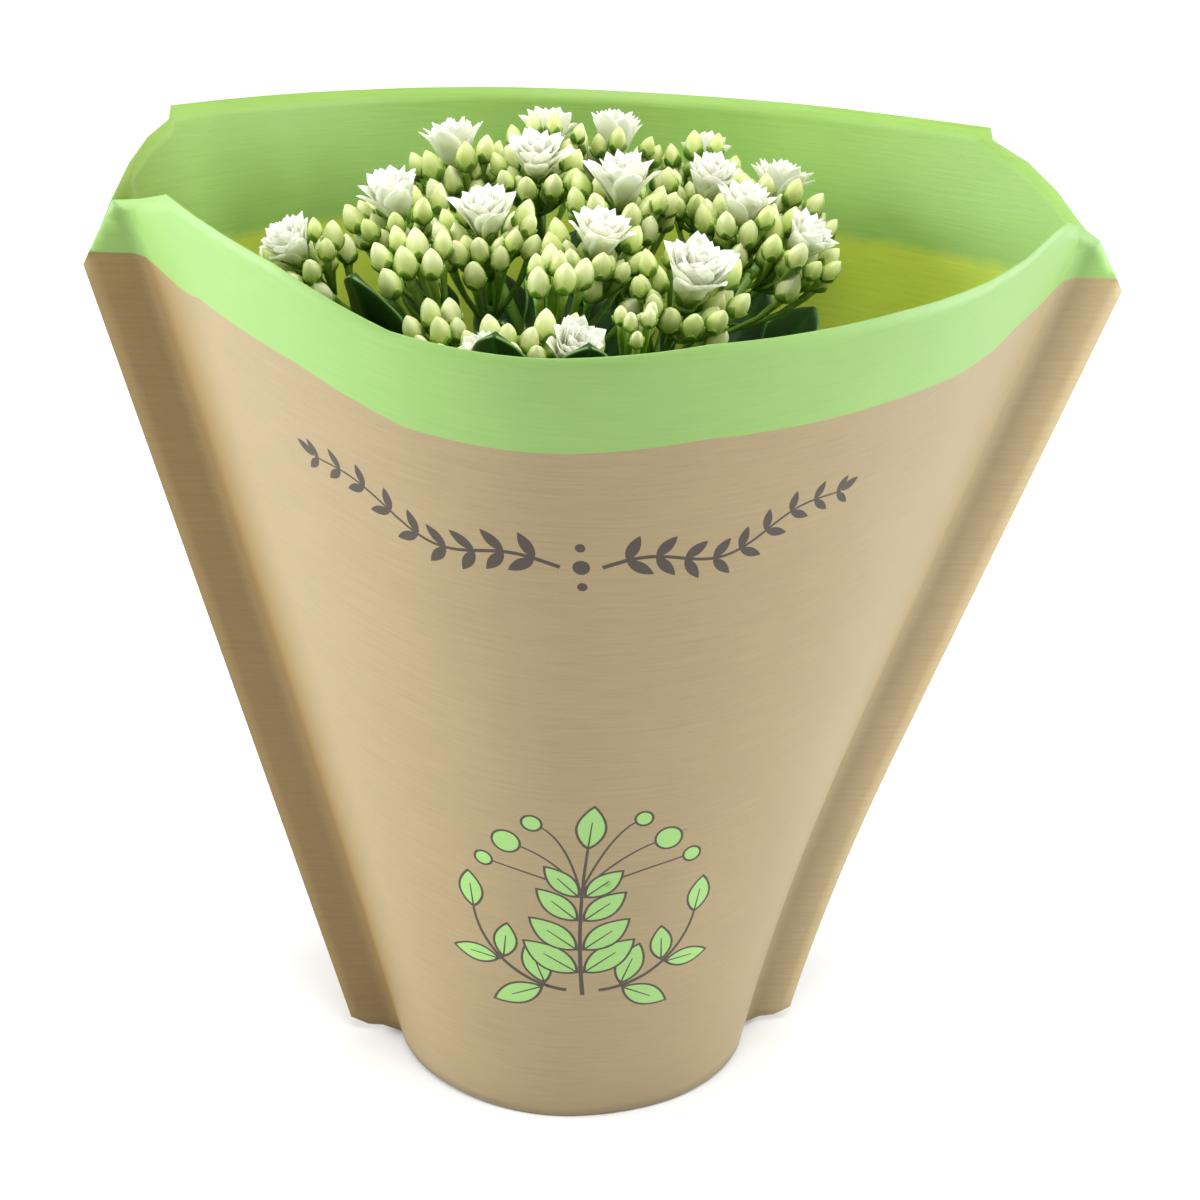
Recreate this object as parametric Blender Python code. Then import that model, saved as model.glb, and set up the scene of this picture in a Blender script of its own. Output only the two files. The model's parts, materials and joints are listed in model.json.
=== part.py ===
"""A potted florist's kalanchoe with double white flowers, standing in a flared two-panel paper sleeve.

The origin is the middle of the pot's flat base. +Z is up and the sleeve's front panel faces -Y.
Every length below is in millimetres.
"""

import math
from collections import namedtuple

import bmesh
import bpy
import numpy as np
from mathutils import Vector

MM = 0.001
CLEAR = 0.3  # the gap between pieces that touch

# Paper sleeve: two sheets sealed along side flanges
SHEET = 0.6
FRONT_HEIGHT = 204.0  # flat height of the front panel's rim
HALF_BOTTOM = 50.0  # flange tip to the middle, at the bottom
HALF_TOP = 116.0  # and at the front rim's height
FLANGE_BOTTOM = 7.0
FLANGE_TOP = 10.3
DEPTH_BOTTOM = 32.5  # how far a panel's middle stands off the flanges
STEEP_BOTTOM = 83.0  # degrees, the steepest turn of a panel beside its flange
CREASE_BOTTOM = 0.107  # share of the half panel that this turn takes
CREASE_TOP = 0.058
LEAN = 10.8  # the top leans back
RISE_FLANGE = 1.026  # real height for each unit of flat height, along the flange
CORNER_RISE = 1.2
LIFT = 0.4  # the sleeve's lower edge clears the ground
FLARE = 5.0  # the right flange kicks out near the bottom
FLARE_HEIGHT = 70.0
ROW_SHARES = (0.0, 0.12, 0.3, 0.6, 1.0)  # the rows lie closer where the flange kicks out

# A column is -1 at the flange tip, 0 at the flange root and 1 in the panel's middle.
# A rim is pairs of column and flat height. The paper sags a little, so its left and right differ.
Panel = namedtuple("Panel", "name side depth_top steep_top skew rise columns left_rim right_rim")
FRONT = Panel(
    "sleeve_front", -1, 78.0, 26.0, -0.205, 0.985,
    (-1, -0.5, 0, 0.03, 0.06, 0.09, 0.12, 0.15, 0.18, 0.24, 0.32, 0.42, 0.5, 0.65, 0.8, 0.9, 1),
    ((-1, 181), (0, 194), (0.09, 198.5), (0.18, 205.4), (0.42, 206.2), (0.65, 202.8), (1, FRONT_HEIGHT)),
    ((-1, 181), (0, 191.5), (0.09, 199), (0.15, 203.4), (0.18, 203), (0.24, 201), (0.32, 201),
     (0.5, 203.3), (0.8, 205.5), (1, FRONT_HEIGHT)),
)
BACK = Panel(
    "sleeve_back", 1, 77.0, 36.0, 0.0, 0.963,
    (-1, -0.5, 0, 0.02, 0.05, 0.08, 0.1, 0.13, 0.15, 0.16, 0.19, 0.225, 0.235, 0.35, 0.5, 0.66, 0.83, 1),
    ((-1, 180.5), (0, 194.3), (0.05, 200.8), (0.1, 205), (0.15, 207.8), (0.16, 210.4), (1, 210.5)),
    ((-1, 181), (-0.5, 186.2), (0, 190.8), (0.05, 195), (0.1, 200), (0.16, 204.8),
     (0.225, 208.2), (0.235, 210.7), (1, 210.5)),
)
BOTTOM_CORNER = ((-1, 2.5), (-0.5, 0.4), (0, 0))

# Nursery pot and its soil
POT_HEIGHT = 80.0
POT_BASE = 31.6
POT_TOP = 43.8
POT_WALL = 1.2
RIM_HEIGHT = 9.0
RIM_OUT = 1.2
DRAIN_HOLES = 6
DRAIN_RING = 22.0
DRAIN_RADIUS = 3.5
CORNER_SOFT = 3.2  # the pot's floor meets its wall over this width
SOIL_TOP = 70.0
SOIL_CROWN = 2.0
ROUND_SIDES = 20

# Leafy shoots
PLANT_LEAN = (-9.5, 2.0)  # the crown of the shoots stands this far from the pot's axis
SHOOT_AZIMUTHS = (20, 95, 170, 237, 312)
SHOOT_FOOT = 58.0  # height of a shoot's lower end, in its hole
SHOOT_TOP = 160.0
SHOOT_SPREAD = (9.0, 15.0)  # distance from the plant's middle, at the soil and at the top
SHOOT_RADIUS = (2.7, 2.0)
HOLE_RADIUS = 3.3
LEAF_LAYERS = 4
LEAF_TURN = 20.0  # a layer's leaves turn this far from their shoot, to one side and then the other
LEAF_FOOT = (88.0, 134.0)  # height on the shoot, of the lowest and the highest layer
LEAF_REACH = (44.0, 54.0)
LEAF_CLIMB = (12.0, 44.0)
LEAF_CURL = 1.7  # how late a leaf turns up
# Each shoot's top leaf: azimuth, reach and climb. Those in front stand up behind the sleeve's rim.
TOP_LEAVES = ((18, 54, 44), (139, 54, 46), (208, 60, 62), (253, 61, 57), (308, 60, 61))
LEAF_WIDTH = 32.0
LEAF_THICK = 1.2
LEAF_FOLD = 0.16  # rise of a leaf from its midrib to its edges
PETIOLE_THICK = 2.4
PETIOLE_SHARE = 0.24
PETIOLE_HALF = 1.7
SCALLOPS = 4
SCALLOP_DEPTH = 1.5

# Flower heads, on a low dome
DOME_MIDDLE = (-11.0, 3.0)
DOME_TOP = 205.5
DOME_DROP = 10.0
DOME_SIDE = 58.0  # it has dropped that much this far out to either side
DOME_FRONT = 46.0
DOME_BACK = 90.0
STUB = 6.0  # length of the side shoot that carries a spray
STUB_OUT = 1.2  # it leaves the shoot this far from its axis
STUB_STEP = 4.4
STALK_RADIUS = 1.35
PEDICEL_RADIUS = 0.65
HUB_DROP = 16.0
BUD_RADIUS = 2.6
BUD_LENGTH = 6.8
BUD_SIDES = 4  # a bud shows the edges of its four sepals
ROOT_STEP = 1.2  # from one pedicel's root to the next, down the stalk
BLOOM_RADIUS = 8.6
BLOOM_BASE = 5.5  # from a bloom's middle down to its calyx
PETAL_THICK = 1.0
# A layer's petals lean from the bloom's axis by degrees, start above the calyx and turn by parts of a petal.
Layer = namedtuple("Layer", "petals lean length width start turn")
PETAL_LAYERS = (Layer(6, 56, 9.6, 5.4, 1.6, 0.0), Layer(4, 30, 9.4, 4.8, 3.2, 0.5))
CORE = ((0, 1.9), (3.0, 3.0), (6.5, 2.6), (10.5, 0))  # height above the calyx, and radius
SEED = 11
SPREAD_ROUNDS = 120
SPREAD_STEP = 0.3
GOLDEN_ANGLE = math.pi * (3 - math.sqrt(5))

# Each spray: the buds it holds, the middle of its head, and its blooms as x, y and size
Spray = namedtuple("Spray", "name buds head blooms")
SPRAYS = (
    Spray("a", 5, (-64, 3), ((-68, -2, 0.85),)),
    Spray("b", 5, (-47, 12), ((-47, 10, 1.0),)),
    Spray("c", 6, (-34, 38), ((-32, 41, 1.0),)),
    Spray("d", 6, (-29, -4), ((-30, -5, 0.95),)),
    Spray("e", 4, (-14, 43), ((-17, 29, 0.9), (-11, 55, 0.85))),
    Spray("f", 7, (-46, -15), ()),
    Spray("g", 7, (-42, -34), ()),
    Spray("h", 5, (6, 57), ((5, 58, 1.0),)),
    Spray("i", 6, (0, 15), ((-1, 14, 1.05),)),
    Spray("j", 5, (-9, -15), ((-9, -15, 0.9),)),
    Spray("k", 6, (-20, -29), ()),
    Spray("l", 5, (8, -26), ((8, -26, 1.15),)),
    Spray("m", 3, (23, 42), ((21, 30, 0.95), (25, 59, 0.8))),
    Spray("n", 5, (44, 46), ((40, 47, 0.95),)),
    Spray("o", 6, (31, 4), ((25, 8, 0.85), (35, 1, 0.85))),
    Spray("p", 1, (-25, -48), ((-17, -46, 0.85), (-34, -46, 0.6))),
    Spray("q", 5, (-6, -41), ()),
)


def clear_scene():
    for obj in list(bpy.data.objects):
        bpy.data.objects.remove(obj, do_unlink=True)


def material(name, colour, roughness):
    made = bpy.data.materials.new(name)
    made.use_nodes = True
    shader = made.node_tree.nodes["Principled BSDF"]
    shader.inputs["Base Color"].default_value = (*colour, 1.0)
    shader.inputs["Roughness"].default_value = roughness
    made.diffuse_color = (*colour, 1.0)
    return made


def unit(vector):
    vector = np.asarray(vector, float)
    return vector / np.linalg.norm(vector)


def blend(ends, share):
    return ends[0] + (ends[1] - ends[0]) * share


def object_from(name, points, faces, finish=None):
    """A mesh object from points in millimetres."""
    mesh = bpy.data.meshes.new(name)
    mesh.from_pydata([Vector(point) * MM for point in points], [], faces)
    made = bpy.data.objects.new(name, mesh)
    bpy.context.scene.collection.objects.link(made)
    if finish:
        mesh.materials.append(finish)
    return made


def loft(rings):
    """Points and faces of a closed body through rings of points; a ring of one point is a pole."""
    points = []
    starts = []
    for ring in rings:
        starts.append(len(points))
        points.extend(ring)
    faces = []
    for low, high, start, after in zip(rings, rings[1:], starts, starts[1:]):
        count = max(len(low), len(high))
        for k in range(count):
            n = (k + 1) % count
            if len(low) == 1:
                faces.append((start, after + n, after + k))
            elif len(high) == 1:
                faces.append((start + k, start + n, after))
            else:
                faces.append((start + k, start + n, after + n, after + k))
    if len(rings[0]) > 1:
        faces.append(tuple(reversed(range(len(rings[0])))))
    if len(rings[-1]) > 1:
        faces.append(tuple(range(starts[-1], starts[-1] + len(rings[-1]))))
    return points, faces


def helper_for(axis):
    """The main direction that lies most square to an axis."""
    return np.eye(3)[np.argmin(np.abs(axis))]


def square_axes(axis, turn=0.0, helper=None):
    """Two unit vectors square to an axis and to each other."""
    axis = unit(axis)
    first = unit(np.cross(axis, helper_for(axis) if helper is None else helper))
    second = np.cross(axis, first)
    return (
        first * math.cos(turn) + second * math.sin(turn),
        second * math.cos(turn) - first * math.sin(turn),
    )


def ring(middle, axis, radius, sides, turn=0.0, helper=None):
    if radius == 0:
        return [np.asarray(middle, float)]
    across, up = square_axes(axis, turn, helper)
    angles = [2 * math.pi * k / sides for k in range(sides)]
    return [middle + radius * (math.cos(a) * across + math.sin(a) * up) for a in angles]


def round_body(middles, ways, radii, sides, turn=0.0):
    """A closed body of rings that all start from one side, so that it doesn't twist."""
    helper = helper_for(unit(np.sum(ways, axis=0)))
    return loft([ring(m, w, r, sides, turn, helper) for m, w, r in zip(middles, ways, radii)])


def tube(points, radii, sides, turn=0.0):
    """A closed body along points, square to the way that they run."""
    points = [np.asarray(point, float) for point in points]
    ways = [points[1] - points[0]]
    ways += [after - before for before, after in zip(points, points[2:])]
    ways.append(points[-1] - points[-2])
    return round_body(points, ways, radii, sides, turn)


def turned(profile, sides):
    """A closed body turned about Z, from pairs of radius and height that run from pole to pole."""
    return loft([ring(np.array((0.0, 0.0, z)), (0, 0, 1), r, sides) for r, z in profile])


def join_bodies(name, bodies, finish):
    """One object from many closed bodies, by a single union."""
    first = object_from(name, *bodies[0], finish)
    group = bpy.data.collections.new(name + "_pieces")
    bpy.context.scene.collection.children.link(group)
    for index, body in enumerate(bodies[1:]):
        piece = object_from(f"{name}_piece_{index}", *body)
        bpy.context.scene.collection.objects.unlink(piece)
        group.objects.link(piece)
    apply_boolean(first, "UNION", group)
    return first


def apply_boolean(target, operation, group):
    """Joins or cuts with every object of a collection, then removes them."""
    modifier = target.modifiers.new(operation.lower(), "BOOLEAN")
    modifier.operation = operation
    modifier.solver = "EXACT"
    modifier.operand_type = "COLLECTION"
    modifier.collection = group
    bpy.context.view_layer.objects.active = target
    bpy.ops.object.modifier_apply(modifier=modifier.name)
    for piece in list(group.objects):
        bpy.data.objects.remove(piece, do_unlink=True)
    bpy.data.collections.remove(group)


def half_section(panel, tall):
    """The unit curve of half a panel: across and depth, from the flange root to the middle."""
    steep = math.radians(blend((STEEP_BOTTOM, panel.steep_top), tall))
    crease = blend((CREASE_BOTTOM, CREASE_TOP), tall)
    along = np.linspace(0.0, 1.0, 161)
    turn = np.clip(along / crease, 0.0, 1.0)
    angle = steep * turn * turn * (3 - 2 * turn) * (1 - np.clip((along - crease) / (1 - crease), 0, 1))
    middle = (angle[1:] + angle[:-1]) / 2
    across = np.concatenate([[0.0], np.cumsum(np.cos(middle))])
    depth = np.concatenate([[0.0], np.cumsum(np.sin(middle))])
    return along, across / across[-1], depth / depth[-1]


def panel_point(panel, column, flat, right):
    """A point of a panel's middle surface, from its column and its flat height."""
    tall = flat / FRONT_HEIGHT
    along, across, depth = half_section(panel, tall)
    flange = blend((FLANGE_BOTTOM, FLANGE_TOP), tall)
    inner = blend((HALF_BOTTOM, HALF_TOP), tall) - flange
    flare = FLARE * max(0.0, 1 - flat / FLARE_HEIGHT) ** 2 if right else 0.0
    share = np.interp(column, along, across)
    stand = np.interp(column, along, depth) if column > 0 else 0.0
    sign = 1 if right else -1
    reach = inner + flare - sign * panel.skew * tall * inner
    x = inner + flare - min(column, 0) * flange - (share * reach if column > 0 else 0.0)
    depth_here = stand * blend((DEPTH_BOTTOM, panel.depth_top), tall)
    y = LEAN * tall + panel.side * ((SHEET + CLEAR) / 2 + depth_here)
    z = flat * blend((RISE_FLANGE, panel.rise), stand) + CORNER_RISE * (1 - stand) + LIFT
    return sign * x, y, z


def sleeve_panel(panel, finish):
    """One sheet of the sleeve: a grid of columns and rows, thickened."""
    walk = [(c, False) for c in panel.columns] + [(c, True) for c in reversed(panel.columns[:-1])]
    points = []
    for column, right in walk:
        low = np.interp(column, *zip(*BOTTOM_CORNER))
        high = np.interp(column, *zip(*(panel.right_rim if right else panel.left_rim)))
        flats = [blend((low, high), share) for share in ROW_SHARES]
        points.extend(panel_point(panel, column, flat, right) for flat in flats)
    rows = len(ROW_SHARES)
    faces = []
    for c in range(len(walk) - 1):
        for row in range(rows - 1):
            here = c * rows + row
            faces.append((here, here + rows, here + rows + 1, here + 1))
    made = object_from(panel.name, points, faces, finish)
    sheet = bmesh.new()
    sheet.from_mesh(made.data)
    bmesh.ops.triangulate(sheet, faces=sheet.faces)
    sheet.to_mesh(made.data)
    sheet.free()
    made.data.shade_smooth()
    thicken = made.modifiers.new("paper", "SOLIDIFY")
    thicken.thickness = SHEET * MM
    thicken.offset = 0.0
    thicken.use_even_offset = True
    return made


def pot_radius(z):
    return blend((POT_BASE, POT_TOP), z / POT_HEIGHT)


def drill_holes(target, middles, length, radius, sides):
    """Cuts an upright round hole at each place."""
    group = bpy.data.collections.new(target.name + "_holes")
    bpy.context.scene.collection.children.link(group)
    for k, foot in enumerate(middles):
        body = tube([foot, foot + (0, 0, length)], [radius, radius], sides)
        drill = object_from(f"{target.name}_drill_{k}", *body)
        bpy.context.scene.collection.objects.unlink(drill)
        group.objects.link(drill)
    apply_boolean(target, "DIFFERENCE", group)


def nursery_pot(finish):
    """A tapered pot with a rim, and a ring of drain holes round its solid middle."""
    rim = POT_HEIGHT - RIM_HEIGHT
    top = POT_TOP + RIM_OUT
    profile = [
        (0, 0),
        (DRAIN_RING - 6, 0),
        (POT_BASE - 1, 0),
        (pot_radius(1), 1),
        (pot_radius(rim), rim),
        (pot_radius(rim) + RIM_OUT, rim + 1),
        (top, POT_HEIGHT),
        (top - POT_WALL, POT_HEIGHT),
        (pot_radius(rim) - POT_WALL, rim - 1),
        (pot_radius(2) - POT_WALL, 2),
        (pot_radius(2) - POT_WALL - CORNER_SOFT, POT_WALL),
        (0, POT_WALL),
    ]
    pot = object_from("pot", *turned(profile, ROUND_SIDES), finish)
    angles = [2 * math.pi * (k + 0.5) / DRAIN_HOLES for k in range(DRAIN_HOLES)]
    middles = [np.array((DRAIN_RING * math.cos(a), DRAIN_RING * math.sin(a), -2.0)) for a in angles]
    drill_holes(pot, middles, 6, DRAIN_RADIUS, 6)
    return pot


def plant_middle(z):
    share = min(max((z - SOIL_TOP) / (SHOOT_TOP - SOIL_TOP), 0.0), 1.0)
    return np.array(PLANT_LEAN) * share, share


def shoot_point(shoot, z):
    middle, share = plant_middle(z)
    angle = math.radians(SHOOT_AZIMUTHS[shoot])
    out = blend(SHOOT_SPREAD, share)
    return np.array((middle[0] + out * math.cos(angle), middle[1] + out * math.sin(angle), z))


def soil_body(finish):
    """Soil that fills the pot, with a plain hole for each shoot."""
    skin = POT_WALL + CLEAR
    edge = pot_radius(SOIL_TOP) - skin - 0.3
    profile = [
        (0, skin),
        (pot_radius(2) - skin - CORNER_SOFT, skin),
        (pot_radius(4) - skin, 4),
        (edge, SOIL_TOP - 1.5),
        (edge * 0.62, SOIL_TOP + SOIL_CROWN * 0.6),
        (0, SOIL_TOP + SOIL_CROWN),
    ]
    soil = object_from("soil", *turned(profile, ROUND_SIDES), finish)
    feet = [shoot_point(shoot, SHOOT_FOOT - CLEAR) for shoot in range(len(SHOOT_AZIMUTHS))]
    drill_holes(soil, feet, SOIL_TOP, HOLE_RADIUS, 8)
    return soil


def leaf_half_width(share, width):
    """Half the width of a leaf along its length, without its scallops."""
    if share <= PETIOLE_SHARE:
        return PETIOLE_HALF
    blade = (share - PETIOLE_SHARE) / (1 - PETIOLE_SHARE)
    return PETIOLE_HALF + (width / 2 - PETIOLE_HALF) * math.sin(math.pi * blade ** 0.8) ** 0.6


def leaf_midrib(foot, tip, share):
    """A leaf runs out from its shoot and then turns up."""
    point = foot + (tip - foot) * share
    point[2] = foot[2] + (tip[2] - foot[2]) * max(share, 0.0) ** LEAF_CURL
    return point


def leaf_shares():
    """Where a leaf's rows lie: its petiole, then a peak and a valley for each scallop, then the tip."""
    rows = [0.0, PETIOLE_SHARE * 0.6, PETIOLE_SHARE]
    step = (0.985 - PETIOLE_SHARE) / (2 * SCALLOPS)
    rows += [PETIOLE_SHARE + step * (k + 1) for k in range(2 * SCALLOPS)]
    return rows


def leaf_body(foot, tip, width, wave):
    """A thick scalloped blade, raised at both sides of its midrib."""
    side = unit(np.cross((0, 0, 1), tip - foot))
    upper = []
    lower = []
    shares = leaf_shares()
    for row, share in enumerate(shares):
        middle = leaf_midrib(foot, tip, share)
        way = unit(leaf_midrib(foot, tip, min(share + 0.02, 1.0)) - leaf_midrib(foot, tip, share - 0.02))
        up = np.cross(way, side) * (-1 if np.cross(way, side)[2] < 0 else 1)
        blade = max(row - 2, 0)
        half = leaf_half_width(share, width) - (SCALLOP_DEPTH if blade and blade % 2 == 0 else 0.0)
        lift = LEAF_FOLD * half + (wave * (1 if blade % 2 else -1) if blade else 0.0)
        thick = LEAF_THICK if blade else PETIOLE_THICK
        for hand in (1, 0, -1):
            place = middle + side * half * hand + up * (lift if hand else 0.0)
            upper.append(place + up * thick / 2)
            lower.append(place - up * thick / 2)
    return blade_faces(upper, lower, len(shares), 3)


def blade_faces(upper, lower, rows, columns):
    """A closed body between two grids of points, split into triangles alike on both faces."""
    points = upper + lower
    shift = len(upper)
    faces = []
    for row in range(rows - 1):
        for column in range(columns - 1):
            a = row * columns + column
            b, c, d = a + 1, a + columns + 1, a + columns
            for corner in ((a, b, c), (a, c, d)):
                faces.append(tuple(reversed(corner)))
                faces.append(tuple(k + shift for k in corner))
    rim = [column for column in range(columns)]
    rim += [row * columns + columns - 1 for row in range(1, rows)]
    rim += [(rows - 1) * columns + column for column in range(columns - 2, -1, -1)]
    rim += [row * columns for row in range(rows - 2, 0, -1)]
    for here, after in zip(rim, rim[1:] + rim[:1]):
        faces.append((here, after, after + shift, here + shift))
    return points, faces


def leaf_places():
    """Shoot, foot, tip, width and wave of every leaf."""
    draw = np.random.default_rng(SEED)
    places = []
    for layer in range(LEAF_LAYERS):
        height = layer / (LEAF_LAYERS - 1)
        for shoot, azimuth in enumerate(SHOOT_AZIMUTHS):
            turn = LEAF_TURN * (1 if layer % 2 else -1) + draw.uniform(-2, 2)
            heading = (azimuth + turn, blend(LEAF_REACH, height), blend(LEAF_CLIMB, height))
            if layer == LEAF_LAYERS - 1:
                heading = TOP_LEAVES[shoot]
            angle = math.radians(heading[0])
            foot = shoot_point(shoot, blend(LEAF_FOOT, height))
            middle, _ = plant_middle(foot[2])
            out = heading[1] * np.array((math.cos(angle), math.sin(angle)))
            tip = np.array((*(middle + out), foot[2] + heading[2] + draw.uniform(-1.5, 1.5)))
            places.append((shoot, foot, tip, LEAF_WIDTH * draw.uniform(0.92, 1.03), draw.uniform(0.3, 0.8)))
    return places


def dome_height(x, y):
    across = (x - DOME_MIDDLE[0]) / DOME_SIDE
    along = y - DOME_MIDDLE[1]
    along /= DOME_FRONT if along < 0 else DOME_BACK
    return DOME_TOP - DOME_DROP * (across * across + along * along)


Head = namedtuple("Head", "spray shoot node way hub blooms buds")


def nearest_shoot(spray):
    middle = np.array(PLANT_LEAN)
    angle = math.degrees(math.atan2(spray.head[1] - middle[1], spray.head[0] - middle[0]))
    turns = [abs((angle - azimuth + 180) % 360 - 180) for azimuth in SHOOT_AZIMUTHS]
    return turns.index(min(turns))


def spray_nodes():
    """Where each spray leaves its shoot: the further it reaches, the lower it starts."""
    nodes = {}
    for shoot in range(len(SHOOT_AZIMUTHS)):
        mine = [spray for spray in SPRAYS if nearest_shoot(spray) == shoot]
        top = shoot_point(shoot, SHOOT_TOP)
        mine.sort(key=lambda spray: math.hypot(spray.head[0] - top[0], spray.head[1] - top[1]))
        for rank, spray in enumerate(mine):
            node = shoot_point(shoot, SHOOT_TOP - 1.0 - STUB_STEP * rank)
            out = unit((spray.head[0] - node[0], spray.head[1] - node[1], 0))
            nodes[spray.name] = (shoot, node + (out * STUB_OUT if rank else 0))
    return nodes


def bud_reach(spray, k):
    """How far a spray's bud number k stands from the middle of the head."""
    inner, wide = (5.0, 0.6) if spray.blooms else (0.0, 0.3)
    return inner + 9.0 * math.sqrt((k + wide) / spray.buds)


def flower_places():
    """Every head, with its blooms and buds spread so that none touches another or a leaf."""
    draw = np.random.default_rng(SEED + 1)
    owners = []
    centres = []
    radii = []
    for spray in SPRAYS:
        for x, y, size in spray.blooms:
            owners.append((spray.name, "bloom", size))
            centres.append((x, y, dome_height(x, y)))
            radii.append(BLOOM_RADIUS * size - 0.4)
        start = draw.uniform(0, 2 * math.pi)
        for k in range(spray.buds):
            angle = start + k * GOLDEN_ANGLE
            out = bud_reach(spray, k)
            x, y = spray.head[0] + out * math.cos(angle), spray.head[1] + out * math.sin(angle)
            owners.append((spray.name, "bud", draw.uniform(0.85, 1.1)))
            centres.append((x, y, dome_height(x, y) - 1.5 - 0.35 * out + draw.uniform(-1.5, 1.5)))
            radii.append(BUD_RADIUS * owners[-1][2] + 0.6)
    centres = spread_apart(np.array(centres), np.array(radii), leaf_samples())
    return owners, centres


def leaf_samples():
    """Points over the upper leaves, which the flowers keep clear of."""
    samples = []
    for _, foot, tip, width, _ in leaf_places():
        side = unit(np.cross((0, 0, 1), tip - foot))
        for share in np.linspace(0.5, 1.0, 7):
            half = leaf_half_width(share, width)
            for hand in (-1, -0.5, 0, 0.5, 1):
                lift = np.array((0, 0, LEAF_FOLD * half * abs(hand)))
                samples.append(leaf_midrib(foot, tip, share) + side * half * hand + lift)
    return np.array(samples)


def push_away(centres, others, reach):
    """How far each centre has to move to keep its reach from every other point."""
    gaps = centres[:, None] - others[None, :]
    far = np.linalg.norm(gaps, axis=2) + 1e-9
    push = np.clip(reach - far, 0, None) * SPREAD_STEP
    return (gaps / far[..., None] * push[..., None]).sum(axis=1)


def spread_apart(centres, radii, fixed):
    """Moves flowers apart and off the leaves; a small one moves further than a large one."""
    reach = radii[:, None] + radii[None, :] + 0.5
    np.fill_diagonal(reach, 0.0)
    weight = radii.min() / radii
    for _ in range(SPREAD_ROUNDS):
        centres = centres + push_away(centres, centres, reach) * weight[:, None]
        centres = centres + push_away(centres, fixed, radii[:, None] + 1.8)
    return centres


def facing(centre, hub, upright):
    """A flower faces away from its hub, and somewhat up."""
    return unit(unit(centre - hub) + np.array((0, 0, upright)))


def flower_heads():
    owners, centres = flower_places()
    nodes = spray_nodes()
    heads = []
    for spray in SPRAYS:
        shoot, node = nodes[spray.name]
        mine = []
        for (name, kind, size), centre in zip(owners, centres):
            if name == spray.name:
                mine.append((kind, size, centre))
        head = np.mean([centre for _, _, centre in mine], axis=0)
        hub = head - HUB_DROP * unit(head - node)
        way = facing(hub, node, 0.15)
        blooms = [(centre, size, facing(centre, hub, 0.25)) for kind, size, centre in mine if kind == "bloom"]
        buds = [(centre, size, facing(centre, hub, 0.35)) for kind, size, centre in mine if kind == "bud"]
        heads.append(Head(spray, shoot, node, way, hub, blooms, buds))
    return heads


def stalk_points(head):
    """The stalk's run, from the stub's end to the hub."""
    start = head.node + head.way * (STUB + CLEAR)
    bend = start + head.way * 0.45 * np.linalg.norm(head.hub - start)
    shares = (0.0, 0.3, 0.65, 1.0)
    return [start * (1 - s) ** 2 + 2 * bend * s * (1 - s) + head.hub * s * s for s in shares]


def leafy_shoot(shoot, leaves, heads, finish):
    """A stem with its leaves, and a stub for each spray that it carries."""
    heights = (SHOOT_FOOT, SOIL_TOP + 4, 100, 130, SHOOT_TOP)
    points = [shoot_point(shoot, z) for z in heights]
    radii = [blend(SHOOT_RADIUS, k / (len(heights) - 1)) for k in range(len(heights))]
    bodies = [tube(points, radii, 6)]
    bodies += [leaf_body(*leaf) for owner, *leaf in leaves if owner == shoot]
    for head in heads:
        if head.shoot == shoot:
            bodies.append(tube([head.node - head.way * 0.6, head.node + head.way * STUB], [1.6, 1.45], 5))
    return join_bodies(f"leafy_shoot_{shoot + 1}", bodies, finish)


def bud_body(root, centre, size, axis, turn):
    """A pedicel that swells into a pointed bud."""
    half = BUD_LENGTH * size / 2
    middles = [root] + [centre + half * share * axis for share in (-1, -0.25, 0.35, 1)]
    radii = [PEDICEL_RADIUS, PEDICEL_RADIUS + 0.2, BUD_RADIUS * size, BUD_RADIUS * size * 0.8, 0]
    ways = [middles[1] - root] + [axis] * 4
    return round_body(middles, ways, radii, BUD_SIDES, turn)


def calyx_body(root, base, axis, size):
    """The pedicel of a bloom, with the cup that the bloom stands on."""
    top = base - CLEAR * axis
    middles = [root, top - 3.4 * axis, top - 1.2 * axis, top]
    radii = [PEDICEL_RADIUS + 0.15, 1.0, 2.3 * size, 2.5 * size]
    return round_body(middles, [base - root] + [axis] * 3, radii, BUD_SIDES)


def bloom_base(centre, size, axis):
    return centre - BLOOM_BASE * size * axis


def spray_body(head, finish):
    points = stalk_points(head)
    bodies = [tube(points, [STALK_RADIUS, 1.3, 1.25, 1.2], 5)]
    last = unit(points[-1] - points[-2])
    for k, (centre, size, axis) in enumerate(sorted(head.buds, key=lambda bud: -bud[0][2])):
        root = head.hub - last * (1.0 + ROOT_STEP * k)
        bodies.append(bud_body(root, centre, size, axis, 0.7 * k))
    for centre, size, axis in head.blooms:
        bodies.append(calyx_body(head.hub - last * 0.5, bloom_base(centre, size, axis), axis, size))
    return join_bodies("spray_" + head.spray.name, bodies, finish)


def petal_body(base, axis, out, size, layer):
    """A pointed petal, widest past its middle, that stands out from the core."""
    lean = math.radians(layer.lean)
    way = math.sin(lean) * out + math.cos(lean) * axis
    across = np.cross(axis, out)
    face = np.cross(way, across)
    root = base + layer.start * size * axis + 0.8 * out
    middle = root + 0.6 * layer.length * size * way
    tip = root + layer.length * size * way
    half = across * layer.width * size / 2
    return loft([[root], [middle + half, middle + face * PETAL_THICK, middle - half], [tip]])


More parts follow.
